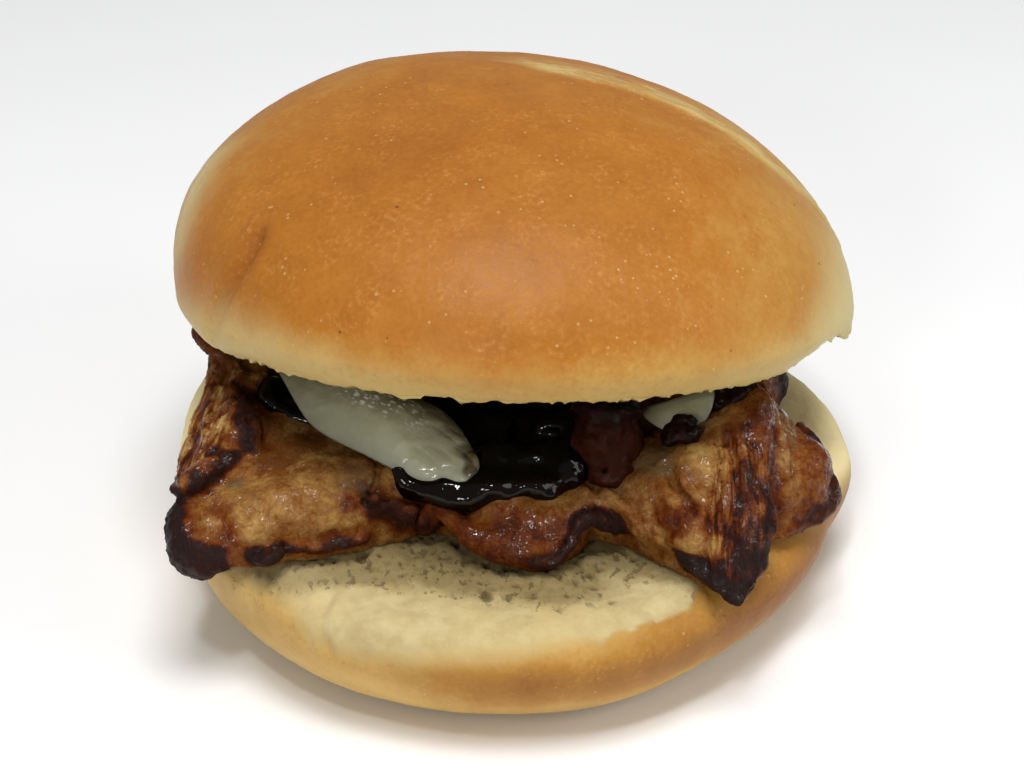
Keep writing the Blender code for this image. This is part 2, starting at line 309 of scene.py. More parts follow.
# ------------------------------------------------------------------ bun materials
def crust_material(name, light, gold, brown, wan_and_glare):
    """Baked crust that turns to crumb by the vertex masks crumb, bake and pale; the pale mask is unbaked crust and, on
    the crown, a painted glare highlight.
    """
    m = Mat(name, Specular_IOR_Level=0.21, Coat_Roughness=0.16, Coat_IOR=1.45, Subsurface_Weight=0.10, Subsurface_Scale=0.004)
    m.bsdf.inputs["Subsurface Radius"].default_value = (1.0, 0.55, 0.25)
    crumb, bake, pale_and_glare, glint_fleck = m.attr("crumb"), m.attr("bake"), m.attr("pale_and_glare"), m.attr("glint_fleck")
    broad = m.noise(24, 3, 0.5)
    mid = m.noise(6, 4, 0.6)
    small = m.noise(2.2, 4, 0.65)
    fine = m.noise(0.8, 3, 0.6)
    b = m.math("ADD", bake, m.math("MULTIPLY", m.math("SUBTRACT", mid, 0.5), 0.45))
    b = m.math("ADD", b, m.math("MULTIPLY", m.math("SUBTRACT", broad, 0.5), 0.4))
    b = m.math("ADD", b, m.math("MULTIPLY", m.math("SUBTRACT", small, 0.5), 0.30))
    crust = m.mix(m.ramp(b, 0.0, 0.6, kind="LINEAR"), lin(light), lin(gold))
    crust = m.mix(m.ramp(b, 0.6, 1.3, kind="LINEAR"), crust, lin(brown))
    # pale unbaked crust, and on the crown a painted glare highlight along the ridge and the left edge
    p = m.math("ADD", pale_and_glare, m.math("MULTIPLY", m.math("SUBTRACT", small, 0.5), 0.30))
    crust = m.mix(m.ramp(p, 0.05, 1.0), crust, lin(wan_and_glare))
    patchy = m.ramp(m.noise(7.0, 3, 0.6), 0.42, 0.62, 0.25, 1.0)
    crust = m.mix(m.math("MULTIPLY", m.ramp(fine, 0.48, 0.74, 0.0, 0.22), patchy), crust, lin((226, 174, 104)))
    crust = m.mix(m.ramp(fine, 0.5, 0.2, 0.0, 0.20), crust, lin((120, 66, 20)))
    # pinhead blisters, partly real pale specks and partly painted glints, and a few darker dots
    spots = m.voronoi(1.7)
    here = m.math("MAXIMUM", m.ramp(m.noise(6, 3, 0.65), 0.48, 0.62, 0.0, 0.68), glint_fleck)
    blister_glint = m.math("MULTIPLY", m.ramp(spots, 0.19, 0.07), here)
    crust = m.mix(m.math("MULTIPLY", blister_glint, 0.6), crust, lin((240, 200, 138)))
    dot = m.voronoi(7.5)
    crust = m.mix(m.ramp(dot, 0.045, 0.025, 0.0, 0.65), crust, lin((84, 42, 14)))
    # crumb
    c = m.mix(m.ramp(m.noise(3.2, 4, 0.6), 0.3, 0.7), lin(CRUMB_LIGHT), lin(CRUMB_DEEP))
    c = m.mix(m.ramp(m.noise(14, 2, 0.5), 0.35, 0.7, 0.0, 0.6), c, lin(CRUMB_WARM))
    # crumb darker near the meat and on the crown's underside: partly damp from the sauce, partly painted shade; the
    # mottle there is painted shade too
    c = m.mix(m.ramp(m.attr("open"), 0.1, 0.9, 0.0, 0.72), c, lin(CRUMB_DAMP_AND_SHADE))
    # painted shade: the pores are darkened
    pit = m.attr("pit")
    c = m.mix(m.ramp(pit, 0.05, 0.7, 0.0, 0.85), c, lin(PORE_PAINTED_SHADE))
    deep = m.stretch(1.0, 0.55, 1.0)
    mottle = m.ramp(m.noise(1.15, 5, 0.75, vec=deep), 0.50, 0.59, 0.0, 0.66)
    c = m.mix(m.math("MULTIPLY", mottle, m.ramp(m.attr("open"), 0.1, 0.8, 0.05, 1.0)), c, lin(CRUMB_SHADE))
    # painted shade in the small holes near the meat
    hole = m.math("MULTIPLY", m.ramp(m.noise(1.6, 3, 0.6, vec=deep), 0.590, 0.640), m.ramp(m.attr("open"), 0.07, 0.45))
    c = m.mix(m.math("MULTIPLY", hole, 0.62), c, lin(PORE_PAINTED_SHADE))
    # painted light: crumb lightened where the crown shades it at the back and sides, and a little along the front rim
    c = m.mix(m.math("MULTIPLY", m.attr("painted_light"), 0.9), c, lin(CRUMB_PAINTED_LIGHT))
    colour = m.mix(crumb, crust, c)
    rough = m.mixf(crumb, m.ramp(fine, 0.3, 0.7, 0.40, 0.54), 0.9)
    n = m.bump(fine, m.mixf(crumb, 0.22, 0.4), 0.22)
    n = m.bump(small, m.mixf(crumb, 0.22, 0.45), 0.5, n)
    n = m.bump(blister_glint, 0.6, 0.2, n)
    n = m.bump(m.ramp(hole, 0.0, 1.0, 1.0, 0.0), 0.6, 0.4, n)
    gloss = m.math("MULTIPLY", m.ramp(m.attr("glint_fleck"), 0.15, 0.9, 0.0, 0.55), m.ramp(m.noise(1.4, 3, 0.6), 0.44, 0.60))
    film = m.bump(m.noise(1.0, 2, 0.5), 0.9, 0.28)
    return m.set(Base_Color=colour, Roughness=rough, Normal=n, Coat_Weight=gloss, Coat_Normal=film)


CRUST_LIGHT = (196, 158, 84)
CRUST_GOLD = (176, 112, 37)
CRUST_BROWN = (140, 78, 21)
# pale unbaked crust, also the colour of the painted glare highlight on the crown
CRUST_PALE_AND_GLARE = (206, 188, 128)
CRUMB_LIGHT = (200, 183, 136)
CRUMB_DEEP = (182, 162, 114)
CRUMB_WARM = (204, 180, 120)
# crumb colour for the painted light
CRUMB_PAINTED_LIGHT = (246, 227, 172)
CRUMB_DAMP_AND_SHADE = (118, 100, 62)
PORE_PAINTED_SHADE = (84, 70, 36)
CRUMB_SHADE = (132, 114, 68)

# ------------------------------------------------------------------ crown
CROWN_R, CROWN_RISE, CROWN_SIDE, CROWN_TUCK = 53.9, 34.7, 4.5, 0.05
CROWN_LEAN = (-10.3, 8.9)
CROWN_AT = np.array([0.4, 12.4, 36.5])
TILT, ROLL = math.radians(13.5), math.radians(1.3)


def _rx(a):
    c, s = math.cos(a), math.sin(a)
    return np.array([[1, 0, 0], [0, c, -s], [0, s, c]])


def _ry(a):
    c, s = math.cos(a), math.sin(a)
    return np.array([[c, 0, s], [0, 1, 0], [-s, 0, c]])


CROWN_M = _rx(-TILT) @ _ry(ROLL)
CROWN_N = CROWN_M @ np.array([0, 0, 1.0])


def crown_under(x, y):
    return CROWN_AT[2] - (CROWN_N[0] * (x - CROWN_AT[0]) + CROWN_N[1] * (y - CROWN_AT[1])) / CROWN_N[2]


RIDGE_WAY = np.array([0.75, -0.3, -0.59])
RIDGE_LINE = [(4, 6, 38.6), (12, 3, 37.3), (22, 1.5, 34.8), (31.6, -0.5, 30.9), (39.2, -3.6, 26.0), (46.0, -2.5, 20.0), (50.8, 1.0, 13.0)]


def crown_piece(mat):
    n = 560
    th = np.linspace(0, 2 * math.pi, n, endpoint=False)
    c, s = np.cos(th), np.sin(th)
    deg = np.degrees(th)
    rows, kind = [], []
    for v in np.linspace(1, 0, 84) ** 0.93:
        a = v * math.pi / 2
        power = 2.11 + 0.55 * c + 0.39 * s
        rho = CROWN_R * max(math.cos(a), 0.0) ** (2 / power)
        z = CROWN_SIDE + CROWN_RISE * math.sin(a) ** 0.9
        lean = (max(z - CROWN_SIDE, 0) / CROWN_RISE) ** 1.3
        rows.append(np.stack([rho * c + CROWN_LEAN[0] * lean, rho * s + CROWN_LEAN[1] * lean, z + 0 * th], -1))
        kind.append(0.0)
    for k in np.linspace(0, 1, 15)[1:-1]:
        rho = CROWN_R * (1 - CROWN_TUCK * k * k)
        rows.append(np.stack([rho * c, rho * s, CROWN_SIDE * (1 - k) + 0 * th], -1))
        kind.append(k * 0.3)
    rim = CROWN_R * (1 - CROWN_TUCK)
    for e in np.linspace(0, 90, 6):
        q = 0.55
        rho = rim - q + q * math.cos(math.radians(e)) + 0.05
        z = q - q * math.sin(math.radians(e))
        rows.append(np.stack([rho * c, rho * s, z * 0.8 + 0 * th], -1))
        kind.append(0.35 + 0.65 * e / 90)
    for t in np.linspace(1, 0, 44)[1:] ** 0.85:
        rho = (rim - 0.5) * t
        rows.append(np.stack([rho * c, rho * s, 1.5 * (1 - t * t) + 0 * th], -1))
        kind.append(1.0)
    rows = np.array(rows)
    under = np.array(kind)[:, None] + 0 * th[None]
    x, y, z = rows[..., 0], rows[..., 1], rows[..., 2]
    az = np.degrees(np.arctan2(y, x))
    # broad unevenness, crease and wrinkled shoulder, all along the normal
    skin = 1 - step(under, 0.2, 0.6)
    lump = 0.45 * fbm(rows, 20, 2, 3) + 0.14 * fbm(rows, 6, 3, 5) + 0.035 * fbm(rows, 1.6, 2, 8)
    d1, _ = along(rows, [(-37.5, -32.5, 18.5), (-39, -33.6, 14.9), (-41, -33.5, 11.5), (-42.9, -32.3, 7.4), (-44.6, -30.9, 3.8), (-45.5, -29.5, 0)])
    crease = -0.75 * np.exp(-(d1 / 1.3) ** 2) + 0.25 * np.exp(-((d1 - 2.6) / 1.6) ** 2)
    d2, t2 = along(rows + 0.9 * np.stack([vnoise(rows, 5, 31), vnoise(rows, 5, 32), vnoise(rows, 5, 33)], -1),
                   RIDGE_LINE)
    ridge = (1 - step(x, 39, 46)) * (0.16 + 0.16 * vnoise(rows, 3, 35)) * np.exp(-(d2 / 1.5) ** 2) - 0.10 * np.exp(-((d2 - 3.0) / 1.6) ** 2)
    flow = rows - 0.75 * (rows @ RIDGE_WAY)[..., None] * RIDGE_WAY
    lines = vnoise(flow, 1.0, 37)
    wrinkle = (0.20 * lines + 0.10 * vnoise(flow, 0.6, 38)) * np.exp(-(np.maximum(d2 - 1.5, 0) / 4.4) ** 2)
    d3, _ = along(rows, [(-52, 2, 22), (-49.2, -2.7, 22.4), (-50.9, -7.5, 18.5), (-52, -12, 14)])
    wrinkle = wrinkle + 0.12 * np.exp(-(d3 / 5.0) ** 2) * vnoise(rows * np.array([1.2, 0.4, 1.0]), 1.3, 39)
    normal = grid_normals(rows)
    move = skin * (lump + crease + ridge + wrinkle)
    # crumb side: pores
    crumbness = step(under, 0.55, 0.95)
    f, who = cells(rows, 2.2, 11)
    pit = np.clip(1 - f / (0.28 + 0.3 * who), 0, 1) * (who > 0.35)
    f2, who2 = cells(rows, 0.95, 21)
    pit = np.maximum(pit, 0.6 * np.clip(1 - f2 / 0.5, 0, 1) * (who2 > 0.5))
    move = move - crumbness * (0.9 * smooth(pit) - 0.25 * fbm(rows, 5, 3, 13))
    out = rows + normal * move[..., None]
    # torn, uneven rim
    skin_side = step(np.hypot(x, y), rim - 4, rim - 1)
    ring = np.stack([x, y, 0 * x], -1)
    edge = np.exp(-(z / 0.9) ** 2) * step(under, 0.15, 0.4) * (1 - step(np.hypot(x, y), 0, 1) + step(np.hypot(x, y), rim - 4, rim - 1))
    edge = np.clip(edge, 0, 1)
    jag = 0.9 * fbm(ring, 3.3, 3, 41, 0.75) + 0.75 * np.abs(vnoise(ring, 1.5, 45)) + 0.25 * vnoise(ring, 8, 43) - 0.35
    jag = jag + 1.5 * turn(az, -24, 9) * vnoise(ring, 2.0, 44) + 1.0 * turn(az, -25, 10)
    out[..., 2] += edge * jag
    rag = turn(az, -28, 8.5) * np.exp(-(z / 2.6) ** 2) * skin_side
    out[..., 2] += rag * (0.7 + 1.8 * np.abs(vnoise(ring, 2.1, 46)) + 0.9 * np.abs(vnoise(ring, 0.9, 48)))
    out[..., :2] *= 1 + (0.034 * turn(az, -17, 8) * (1 + 0.35 * vnoise(ring, 1.1, 49)) * np.exp(-(z / 2.4) ** 2) * skin_side)[..., None]
    out[..., :2] *= 1 - 0.016 * (rag * np.abs(vnoise(np.stack([x, y, z], -1), 1.5, 47)))[..., None]
    # masks
    tall = 3.4 + 1.2 * turn(az, -75, 40) + 7.5 * turn(az, -143, 30) + 16.0 * turn(az, -8, 32) + 3.0 * turn(az, 100, 60)
    pale_and_glare = 1 - step(z + 1.2 * fbm(rows, 7, 2, 51), 0.10 * tall, 1.35 * tall)
    pale_and_glare = pale_and_glare * np.clip(0.42 + 0.22 * turn(az, -143, 40) + 0.7 * turn(az, -8, 34) + 0.3 * turn(az, 100, 70), 0, 1)
    bake = 0.62 + 0.30 * np.exp(-(((x + 14) / 26) ** 2 + ((y + 24) / 22) ** 2)) + 0.12 * fbm(rows, 16, 2, 61) - 0.27 * step(x - 0.3 * z, 8, 40) - 0.10 * step(-x, 12, 30) * step(z, 12, 24)
    # painted highlight: less browning along the ridge line and the left edge, standing in for grazing glare
    bake = bake - 0.22 * np.exp(-(d2 / 3.0) ** 2) - 0.25 * np.exp(-(d3 / 4.0) ** 2)
    behind = step(y - np.interp(x, [q[0] for q in RIDGE_LINE], [q[1] for q in RIDGE_LINE]), -1.5, 2.5)
    # painted highlight: a pale glare streak along the ridge, wider behind it, and a pale sheen along the left edge
    pale_and_glare = np.maximum(pale_and_glare, (0.50 + 0.24 * lines + 0.2 * fbm(rows, 6, 2, 53)) * np.exp(-(np.maximum(d2 - 0.8, 0) / (2.6 + 5.4 * behind)) ** 2))
    pale_and_glare = np.maximum(pale_and_glare, 0.62 * np.exp(-(d3 / 9.0) ** 2))
    # painted highlight: clusters where the pale blister specks stand in for glints, and where the coat is glossier
    glint_fleck = np.exp(-(np.linalg.norm((rows - np.array([18.5, -44.6, 16.0])) / np.array([6.5, 4, 4.5]), axis=-1)) ** 2)
    glint_fleck = np.maximum(glint_fleck, 0.8 * np.exp(-(np.linalg.norm((rows - np.array([-13, -42, 17.0])) / np.array([5, 4, 3.5]), axis=-1)) ** 2))
    glint_fleck = np.maximum(glint_fleck, 0.7 * np.exp(-(np.linalg.norm((rows - np.array([22, -30, 27.0])) / np.array([6, 5, 5]), axis=-1)) ** 2))
    glint_fleck = np.maximum(glint_fleck, 0.8 * np.exp(-(np.linalg.norm((rows - np.array([-50, -6, 19.0])) / np.array([5, 7, 7]), axis=-1)) ** 2))
    bake = bake + 0.25 * np.exp(-(d1 / 2.2) ** 2)
    bake = bake - 0.40 * (1 - step(z, 2.4, 9.0 + 3.0 * turn(az, -143, 40))) * (1 - turn(az, -12, 42))
    world = out @ CROWN_M.T + CROWN_AT
    verts, faces = lathe(world)
    # on the crown the whole crumb underside takes the damp and painted shade colour
    attrs = dict(crumb=per_vertex(crumbness), bake=per_vertex(bake * skin), pale_and_glare=per_vertex(np.clip(pale_and_glare, 0, 1)),
                 pit=per_vertex(pit * crumbness), glint_fleck=per_vertex(np.clip(glint_fleck, 0, 1)), open=per_vertex(crumbness), painted_light=per_vertex(0 * z))
    return make("bun_crown", verts, faces, mat, attrs)


# ------------------------------------------------------------------ heel
HEEL_R, HEEL_H, FOOT_R, FOOT_X = 54.5, 19.5, 43.0, -1.5


def heel_drop(deg):
    """Depth and width of the rounded shoulder, by azimuth."""
    right = np.clip(turn(deg, -52, 34) + turn(deg, -20, 30), 0, 1)
    left = turn(deg, 168, 34)
    return 4.6 + 1.2 * right - 2.4 * left, 5.2 + 2.0 * right - 1.8 * left


def heel_top(x, y):
    rho = np.hypot(x, y)
    deg = np.degrees(np.arctan2(y, x))
    drop, width = heel_drop(deg)
    dish = 1.2 * np.maximum(0, 1 - (rho / 46) ** 2)
    lift = 3.8 * turn(deg, 160, 20) * smooth((rho - 42) / 9)
    t = np.clip((rho - HEEL_R + width) / width, 0, 1)
    return HEEL_H + lift - dish - drop * (1 - np.sqrt(1 - t * t))


# how far out the crumb runs, measured over the shoulder, by azimuth
CRUMB_EDGE = [(-180, 57.0), (-150, 55.0), (-134, 53.6), (-126, 54.0), (-121, 56.4), (-112, 56.6), (-100, 55.0), (-92, 54.0), (-84, 53.2), (-79, 52.2),
              (-76, 53.2), (-73.5, 51.8), (-71, 52.8), (-66, 52.4), (-61, 52.8), (-57, 50.6), (-54, 49.2), (-48, 49.4), (-37, 50.2),
              (-19, 53.6), (0, 57.0), (20, 57.0), (60, 56.0), (110, 55.0), (150, 56.5), (180, 57.0)]


def heel_piece(mat):
    n = 600
    th = np.linspace(0, 2 * math.pi, n, endpoint=False)
    c, s = np.cos(th), np.sin(th)
    deg = (np.degrees(th) + 180) % 360 - 180
    rows, kind = [], []
    drop, width = heel_drop(deg)
    for share in list(np.linspace(0, 0.45, 14)) + list(np.linspace(0.45, 1, 56))[1:]:
        rho = share * (HEEL_R - width)
        x, y = rho * c, rho * s
        rows.append(np.stack([x, y, heel_top(x, y)], -1))
        kind.append(0)
    for a in np.linspace(0, math.pi / 2, 20)[1:]:
        rho = HEEL_R - width + width * math.sin(a)
        x, y = rho * c, rho * s
        rows.append(np.stack([x, y, heel_top(x, y)], -1))
        kind.append(0)
    rim = rows[-1][:, 2]
    for a in np.linspace(1, 0, 26)[1:]:
        rho = FOOT_R + (HEEL_R - FOOT_R) * math.sin(a * math.pi / 2) ** 0.8
        rows.append(np.stack([rho * c + FOOT_X * (1 - a), rho * s, rim * a ** 1.15], -1))
        kind.append(1)
    for t in np.linspace(1, 0, 10)[1:]:
        rows.append(np.stack([FOOT_R * t * c + FOOT_X, FOOT_R * t * s, 0 * th], -1))
        kind.append(2)
    rows = np.array(rows)
    kind = np.array(kind)[:, None] + 0 * th[None]
    x, y, z = rows[..., 0], rows[..., 1], rows[..., 2]
    rho = np.hypot(x, y)
    az = np.degrees(np.arctan2(y, x))
    edge = np.interp(az, [e[0] for e in CRUMB_EDGE], [e[1] for e in CRUMB_EDGE])
    ring = np.stack([c * 52, s * 52, 0 * th], -1)[None] + 0 * rows
    torn = np.clip(turn(az, -66, 17) + 0.7 * turn(az, -42, 14) + 0.35 * turn(az, 150, 120), 0, 1)
    jag = 1.0 * vnoise(ring, 5.3, 71) + 0.55 * vnoise(ring, 1.9, 72) + 0.35 * vnoise(ring, 0.8, 74)
    edge = edge + torn * jag + (1 - torn) * 1.2 * fbm(ring, 8, 3, 73)
    wide = 0.4 + 4.6 * (1 - torn)
    run = np.concatenate([np.zeros((1, n)), np.cumsum(np.linalg.norm(rows[1:] - rows[:-1], axis=-1), axis=0)])
    crumb = 1 - step(run, edge - wide * 0.6, edge + wide * 0.5)
    crumb = np.where(kind == 2, 0, crumb)
    # pores are open where the cut is rough, closed where the rim was pressed smooth
    inner = 1 - step(rho + 2.2 * vnoise(rows, 9, 77), 41.5, 49.0)
    bent = rows * np.array([1, 0.62, 0.6]) + 0.35 * np.stack([vnoise(rows, 1.3, 78), vnoise(rows, 1.3, 79), 0 * rho], -1)
    bent = bent + 0.5 * np.stack([vnoise(rows, 0.9, 92), vnoise(rows, 0.9, 93), 0 * rho], -1)
    f, who = cells(bent, 2.7, 81)
    big = np.clip(1 - f / (0.14 + 0.44 * who * who), 0, 1) * (who > 0.55)
    f2, who2 = cells(bent, 1.35, 91)
    small = np.clip(1 - f2 / (0.22 + 0.40 * who2), 0, 1) * (who2 > 0.3)
    gap = rho - fillet_reach(x, y)
    front = np.clip(1.3 * turn(az, -97, 44), 0, 1)
    # painted shade: close marks the crumb just in front of the meat, where the damp and shade colour is strongest
    close = (1 - step(gap + 3.4 * fbm(rows, 6, 2, 94) - 3.6 * turn(az, -113, 14) + 3.0 * turn(az, -86, 13), 2.5, 13.0)) * front
    holes = (1 - step(gap + 5.0 * fbm(rows, 5, 2, 96), 7.0, 17.0)) * front
    crowd = np.clip(0.3 * inner + 1.2 * holes, 0, 1) * step(fbm(rows, 3.0, 3, 95) + 0.5 * close + 0.15 * holes, 0.0, 0.35)
    pit = np.maximum(0.9 * big, 0.85 * small) * np.maximum(crowd, 0.12 * (1 - step(rho, 51, 53)))
    pit = pit * crumb * (kind == 0)
    normal = grid_normals(rows)
    skin = 1 - crumb
    move = skin * (0.22 * fbm(rows, 9, 2, 83) + 0.05 * fbm(rows, 2.2, 2, 84)) * (kind < 2)
    sponge = fbm(rows * np.array([1, 0.6, 1]), 1.9, 3, 86)
    move = move - 0.85 * smooth(pit) + crumb * (kind == 0) * (0.28 * fbm(rows, 6, 3, 85) + (0.12 + 0.30 * close) * sponge)
    # the crumb stands a little over the torn skin
    move = move + 0.42 * torn * (1 - step(run, edge - 0.5, edge + 0.25)) * step(run, 42, 47)
    d1, _ = along(rows, [(-26.0, -42.5, 19.4), (-27.2, -46.5, 18.6), (-27.0, -48.0, 17.0), (-25.5, -47.8, 13.5)])
    move = move - 0.55 * np.exp(-(d1 / 0.8) ** 2) + 0.22 * np.exp(-((d1 - 2.0) / 1.4) ** 2)
    move = move * np.where((kind == 1), step(z, 0.0, 1.6), 1.0) * (kind < 2)
    out = rows + normal * move[..., None]
    pull = 1 - (0.027 * turn(az, -168, 32) + 0.050 * step(-az, 0, 17) * (1 - step(-az, 46, 80)) - 0.016 * turn(az, 16, 16)) * step(rho, 38, 52)
    out[..., 0] *= pull
    out[..., 1] *= pull
    out[..., 2] = np.maximum(out[..., 2], 0.0)
    # browning of the side
    band = bell(z, 12.5, 5.0) * (0.30 + 0.70 * step(az, -116, -88) * (1 - step(az, 150, 175)))
    right = turn(az, -40, 36)
    bake = 0.06 + 0.74 * band + 0.36 * right * step(z, 3, 12) + 0.16 * fbm(rows, 10, 3, 87)
    bake = bake + 0.18 * step(az, -60, 60) * (1 - step(az, 120, 175))
    pale_and_glare = np.clip(0.45 * turn(az, -150, 34) + 0.4 * (1 - step(z, 0.5, 5.0)) + 0.25 * turn(az, 120, 60), 0, 1) * 0.8
    pale_and_glare = np.maximum(pale_and_glare, 0.45 * (1 - step(run - edge, 0.0, 4.5)) * (1 - 0.75 * torn))
    # painted light: crumb lightened at the back right and left, in the crown's shade, and a little along the front rim
    painted_light = crumb * (turn(az, 2, 34) + turn(az, 168, 40) + 0.12 * bell(rho, 49, 4) * turn(az, -95, 45))
    # the damp and shade mask: a little over the inner crumb, most just in front of the meat
    attrs = dict(crumb=per_vertex(crumb), bake=per_vertex(bake), pale_and_glare=per_vertex(pale_and_glare), pit=per_vertex(pit), glint_fleck=per_vertex(0 * rho),
                 open=per_vertex(np.clip(0.12 * inner + 1.1 * close + 0.22 * holes, 0, 1) * (kind == 0)), painted_light=per_vertex(np.clip(painted_light, 0, 1)))
    verts, faces = lathe(out)
    return make("bun_heel", verts, faces, mat, attrs)


# ------------------------------------------------------------------ fields
class Field:
    """A signed-distance grid, in mm; shapes are melted into it or cut out of it."""

    def __init__(self, lo, hi, h, seed=0, bend=0.55, size=4.5):
        self.lo, self.h = np.array(lo, float), h
        self.n = [int(round((b - a) / h)) // 2 * 2 + 1 for a, b in zip(lo, hi)]
        self.ax = [a + h * np.arange(k) for a, k in zip(lo, self.n)]
        self.p = np.stack(np.meshgrid(*self.ax, indexing="ij"), -1)
        self.f = np.full(self.n, 9.0)
        # every shape is bent a little by the same slow noise
        w = [self.spread(vnoise(self.p[::2, ::2, ::2], size, seed + k)) for k in (1, 2, 3)]
        self.q = self.p + bend * np.stack(w, -1)

    @staticmethod
    def spread(a):
        """A grid at twice the step, filled in between."""
        for ax in range(3):
            a = np.moveaxis(a, ax, 0)
            out = np.empty((a.shape[0] * 2 - 1,) + a.shape[1:])
            out[::2] = a
            out[1::2] = 0.5 * (a[1:] + a[:-1])
            a = np.moveaxis(out, 0, ax)
        return a

    def window(self, lo, hi):
        s = []
        for k in range(3):
            a = int(np.clip((lo[k] - self.lo[k]) / self.h, 0, self.n[k] - 1))
            b = int(np.clip((hi[k] - self.lo[k]) / self.h + 2, 1, self.n[k]))
            s.append(slice(a, b))
        return tuple(s)

    def melt(self, s, d, k, cut=False):
        a = self.f[s]
        if cut:
            d = -d
            t = np.clip(0.5 + 0.5 * (a - d) / k, 0, 1)
            self.f[s] = d + (a - d) * t + k * t * (1 - t)
        else:
            t = np.clip(0.5 + 0.5 * (a - d) / k, 0, 1)
            self.f[s] = a + (d - a) * t - k * t * (1 - t)

    def blob(self, at, radii, k=1.5, cut=False, turn=0.0, tip=0.0):
        at, r = np.array(at, float), np.array(radii, float)
        reach = r.max() + k + 1.5
        s = self.window(at - reach, at + reach)
        v = self.q[s] - at
        m = _rx(math.radians(tip)) @ np.array([[math.cos(math.radians(turn)), math.sin(math.radians(turn)), 0],
                                               [-math.sin(math.radians(turn)), math.cos(math.radians(turn)), 0], [0, 0, 1]])
        v = v @ m.T
        k0 = np.linalg.norm(v / r, axis=-1)
        k1 = np.linalg.norm(v / (r * r), axis=-1)
        self.melt(s, k0 * (k0 - 1) / np.maximum(k1, 1e-6), k, cut)

    def tube(self, pts, radii, k=0.8, cut=False, flat=None, straight=False):
        pts = np.array(pts, float)
        radii = np.broadcast_to(np.array(radii, float), (len(pts),))
        reach = radii.max() + k + 1.5
        s = self.window(pts.min(0) - reach, pts.max(0) + reach)
        q = self.p[s] if straight else self.q[s]
        best = np.full(q.shape[:-1], 99.0)
        for i in range(len(pts) - 1):
            d = pts[i + 1] - pts[i]
            t = np.clip(((q - pts[i]) @ d) / (d @ d), 0, 1)
            v = q - (pts[i] + t[..., None] * d)
            if flat is not None:
                v = v * np.array(flat)
            best = np.minimum(best, np.linalg.norm(v, axis=-1) - (radii[i] + (radii[i + 1] - radii[i]) * t))
        self.melt(s, best, k, cut)

    def level(self):
        """Rescale so that values near the surface read as mm."""
        g = np.sqrt(sum(np.gradient(self.f, self.h, axis=a) ** 2 for a in range(3)))
        self.f = self.f / np.maximum(g, 0.6)

    def soften(self, times):
        out = self.f.copy()
        for _ in range(times):
            for a in range(3):
                out = np.moveaxis(out, a, 0)
                mid = out.copy()
                mid[1:-1] = 0.25 * out[:-2] + 0.5 * out[1:-1] + 0.25 * out[2:]
                out = np.moveaxis(mid, 0, a)
        return out

    def net(self, f=None, relax=2):
        """Surface net: one vertex per mixed cell, one quad per crossed edge."""
        f = self.f if f is None else f
        f = f.copy()
        for a in range(3):
            f = np.moveaxis(f, a, 0)
            f[0] = np.maximum(f[0], 0.5)
            f[-1] = np.maximum(f[-1], 0.5)
            f = np.moveaxis(f, 0, a)
        inside = f < 0
        nx, ny, nz = f.shape
        count = np.zeros((nx - 1, ny - 1, nz - 1), np.int8)
        for a in (0, 1):
            for b in (0, 1):
                for c in (0, 1):
                    count += inside[a:nx - 1 + a, b:ny - 1 + b, c:nz - 1 + c]
        active = (count > 0) & (count < 8)
        index = np.full(active.shape, -1, np.int64)
        cell = np.argwhere(active)
        index[active] = np.arange(len(cell))
        i, j, k = cell.T
        total, n = np.zeros((len(cell), 3)), np.zeros(len(cell))
        for axis in range(3):
            for a in (0, 1):
                for b in (0, 1):
                    o = [0, 0, 0]
                    o[(axis + 1) % 3], o[(axis + 2) % 3] = a, b
                    e = list(o)
                    e[axis] = 1
                    fa = f[i + o[0], j + o[1], k + o[2]]
                    fb = f[i + e[0], j + e[1], k + e[2]]
                    hit = (fa < 0) != (fb < 0)
                    t = np.where(hit, fa / np.where(hit, fa - fb, 1), 0)
                    spot = np.array(o, float) + np.zeros((len(cell), 3))
                    spot[:, axis] = t
                    total += spot * hit[:, None]
                    n += hit
        verts = self.lo + self.h * (cell + total / n[:, None])
        quads = []
        for axis in range(3):
            u, v = (axis + 1) % 3, (axis + 2) % 3
            lo = [slice(None)] * 3
            hi = [slice(None)] * 3
            lo[axis], hi[axis] = slice(0, -1), slice(1, None)
            for w in (u, v):
                lo[w] = hi[w] = slice(1, -1)
            a, b = inside[tuple(lo)], inside[tuple(hi)]
            for sign, where in ((1, a & ~b), (-1, ~a & b)):
                e = np.argwhere(where)
                e[:, u] += 1
                e[:, v] += 1
                ring = []
                for du, dv in ((-1, -1), (0, -1), (0, 0), (-1, 0)):
                    c = e.copy()
                    c[:, u] += du
                    c[:, v] += dv
                    ring.append(index[c[:, 0], c[:, 1], c[:, 2]])
                if sign < 0:
                    ring = ring[::-1]
                quads.append(np.stack(ring, -1))
        quads = np.concatenate(quads)
        verts, quads = largest(verts, quads)
        for _ in range(relax):
            verts = verts + 0.5 * (mean_of_neighbours(verts, quads) - verts)
        return verts, quads

    def sample(self, p, f=None):
        """Trilinear read of the field."""
        f = self.f if f is None else f
        g = (np.asarray(p) - self.lo) / self.h
        g = np.clip(g, 0, np.array(self.n) - 1.001)
        i = g.astype(int)
        t = g - i
        out = 0.0
        for a in (0, 1):
            for b in (0, 1):
                for c in (0, 1):
                    w = (t[..., 0] if a else 1 - t[..., 0]) * (t[..., 1] if b else 1 - t[..., 1]) * (t[..., 2] if c else 1 - t[..., 2])
                    out = out + w * f[i[..., 0] + a, i[..., 1] + b, i[..., 2] + c]
        return out


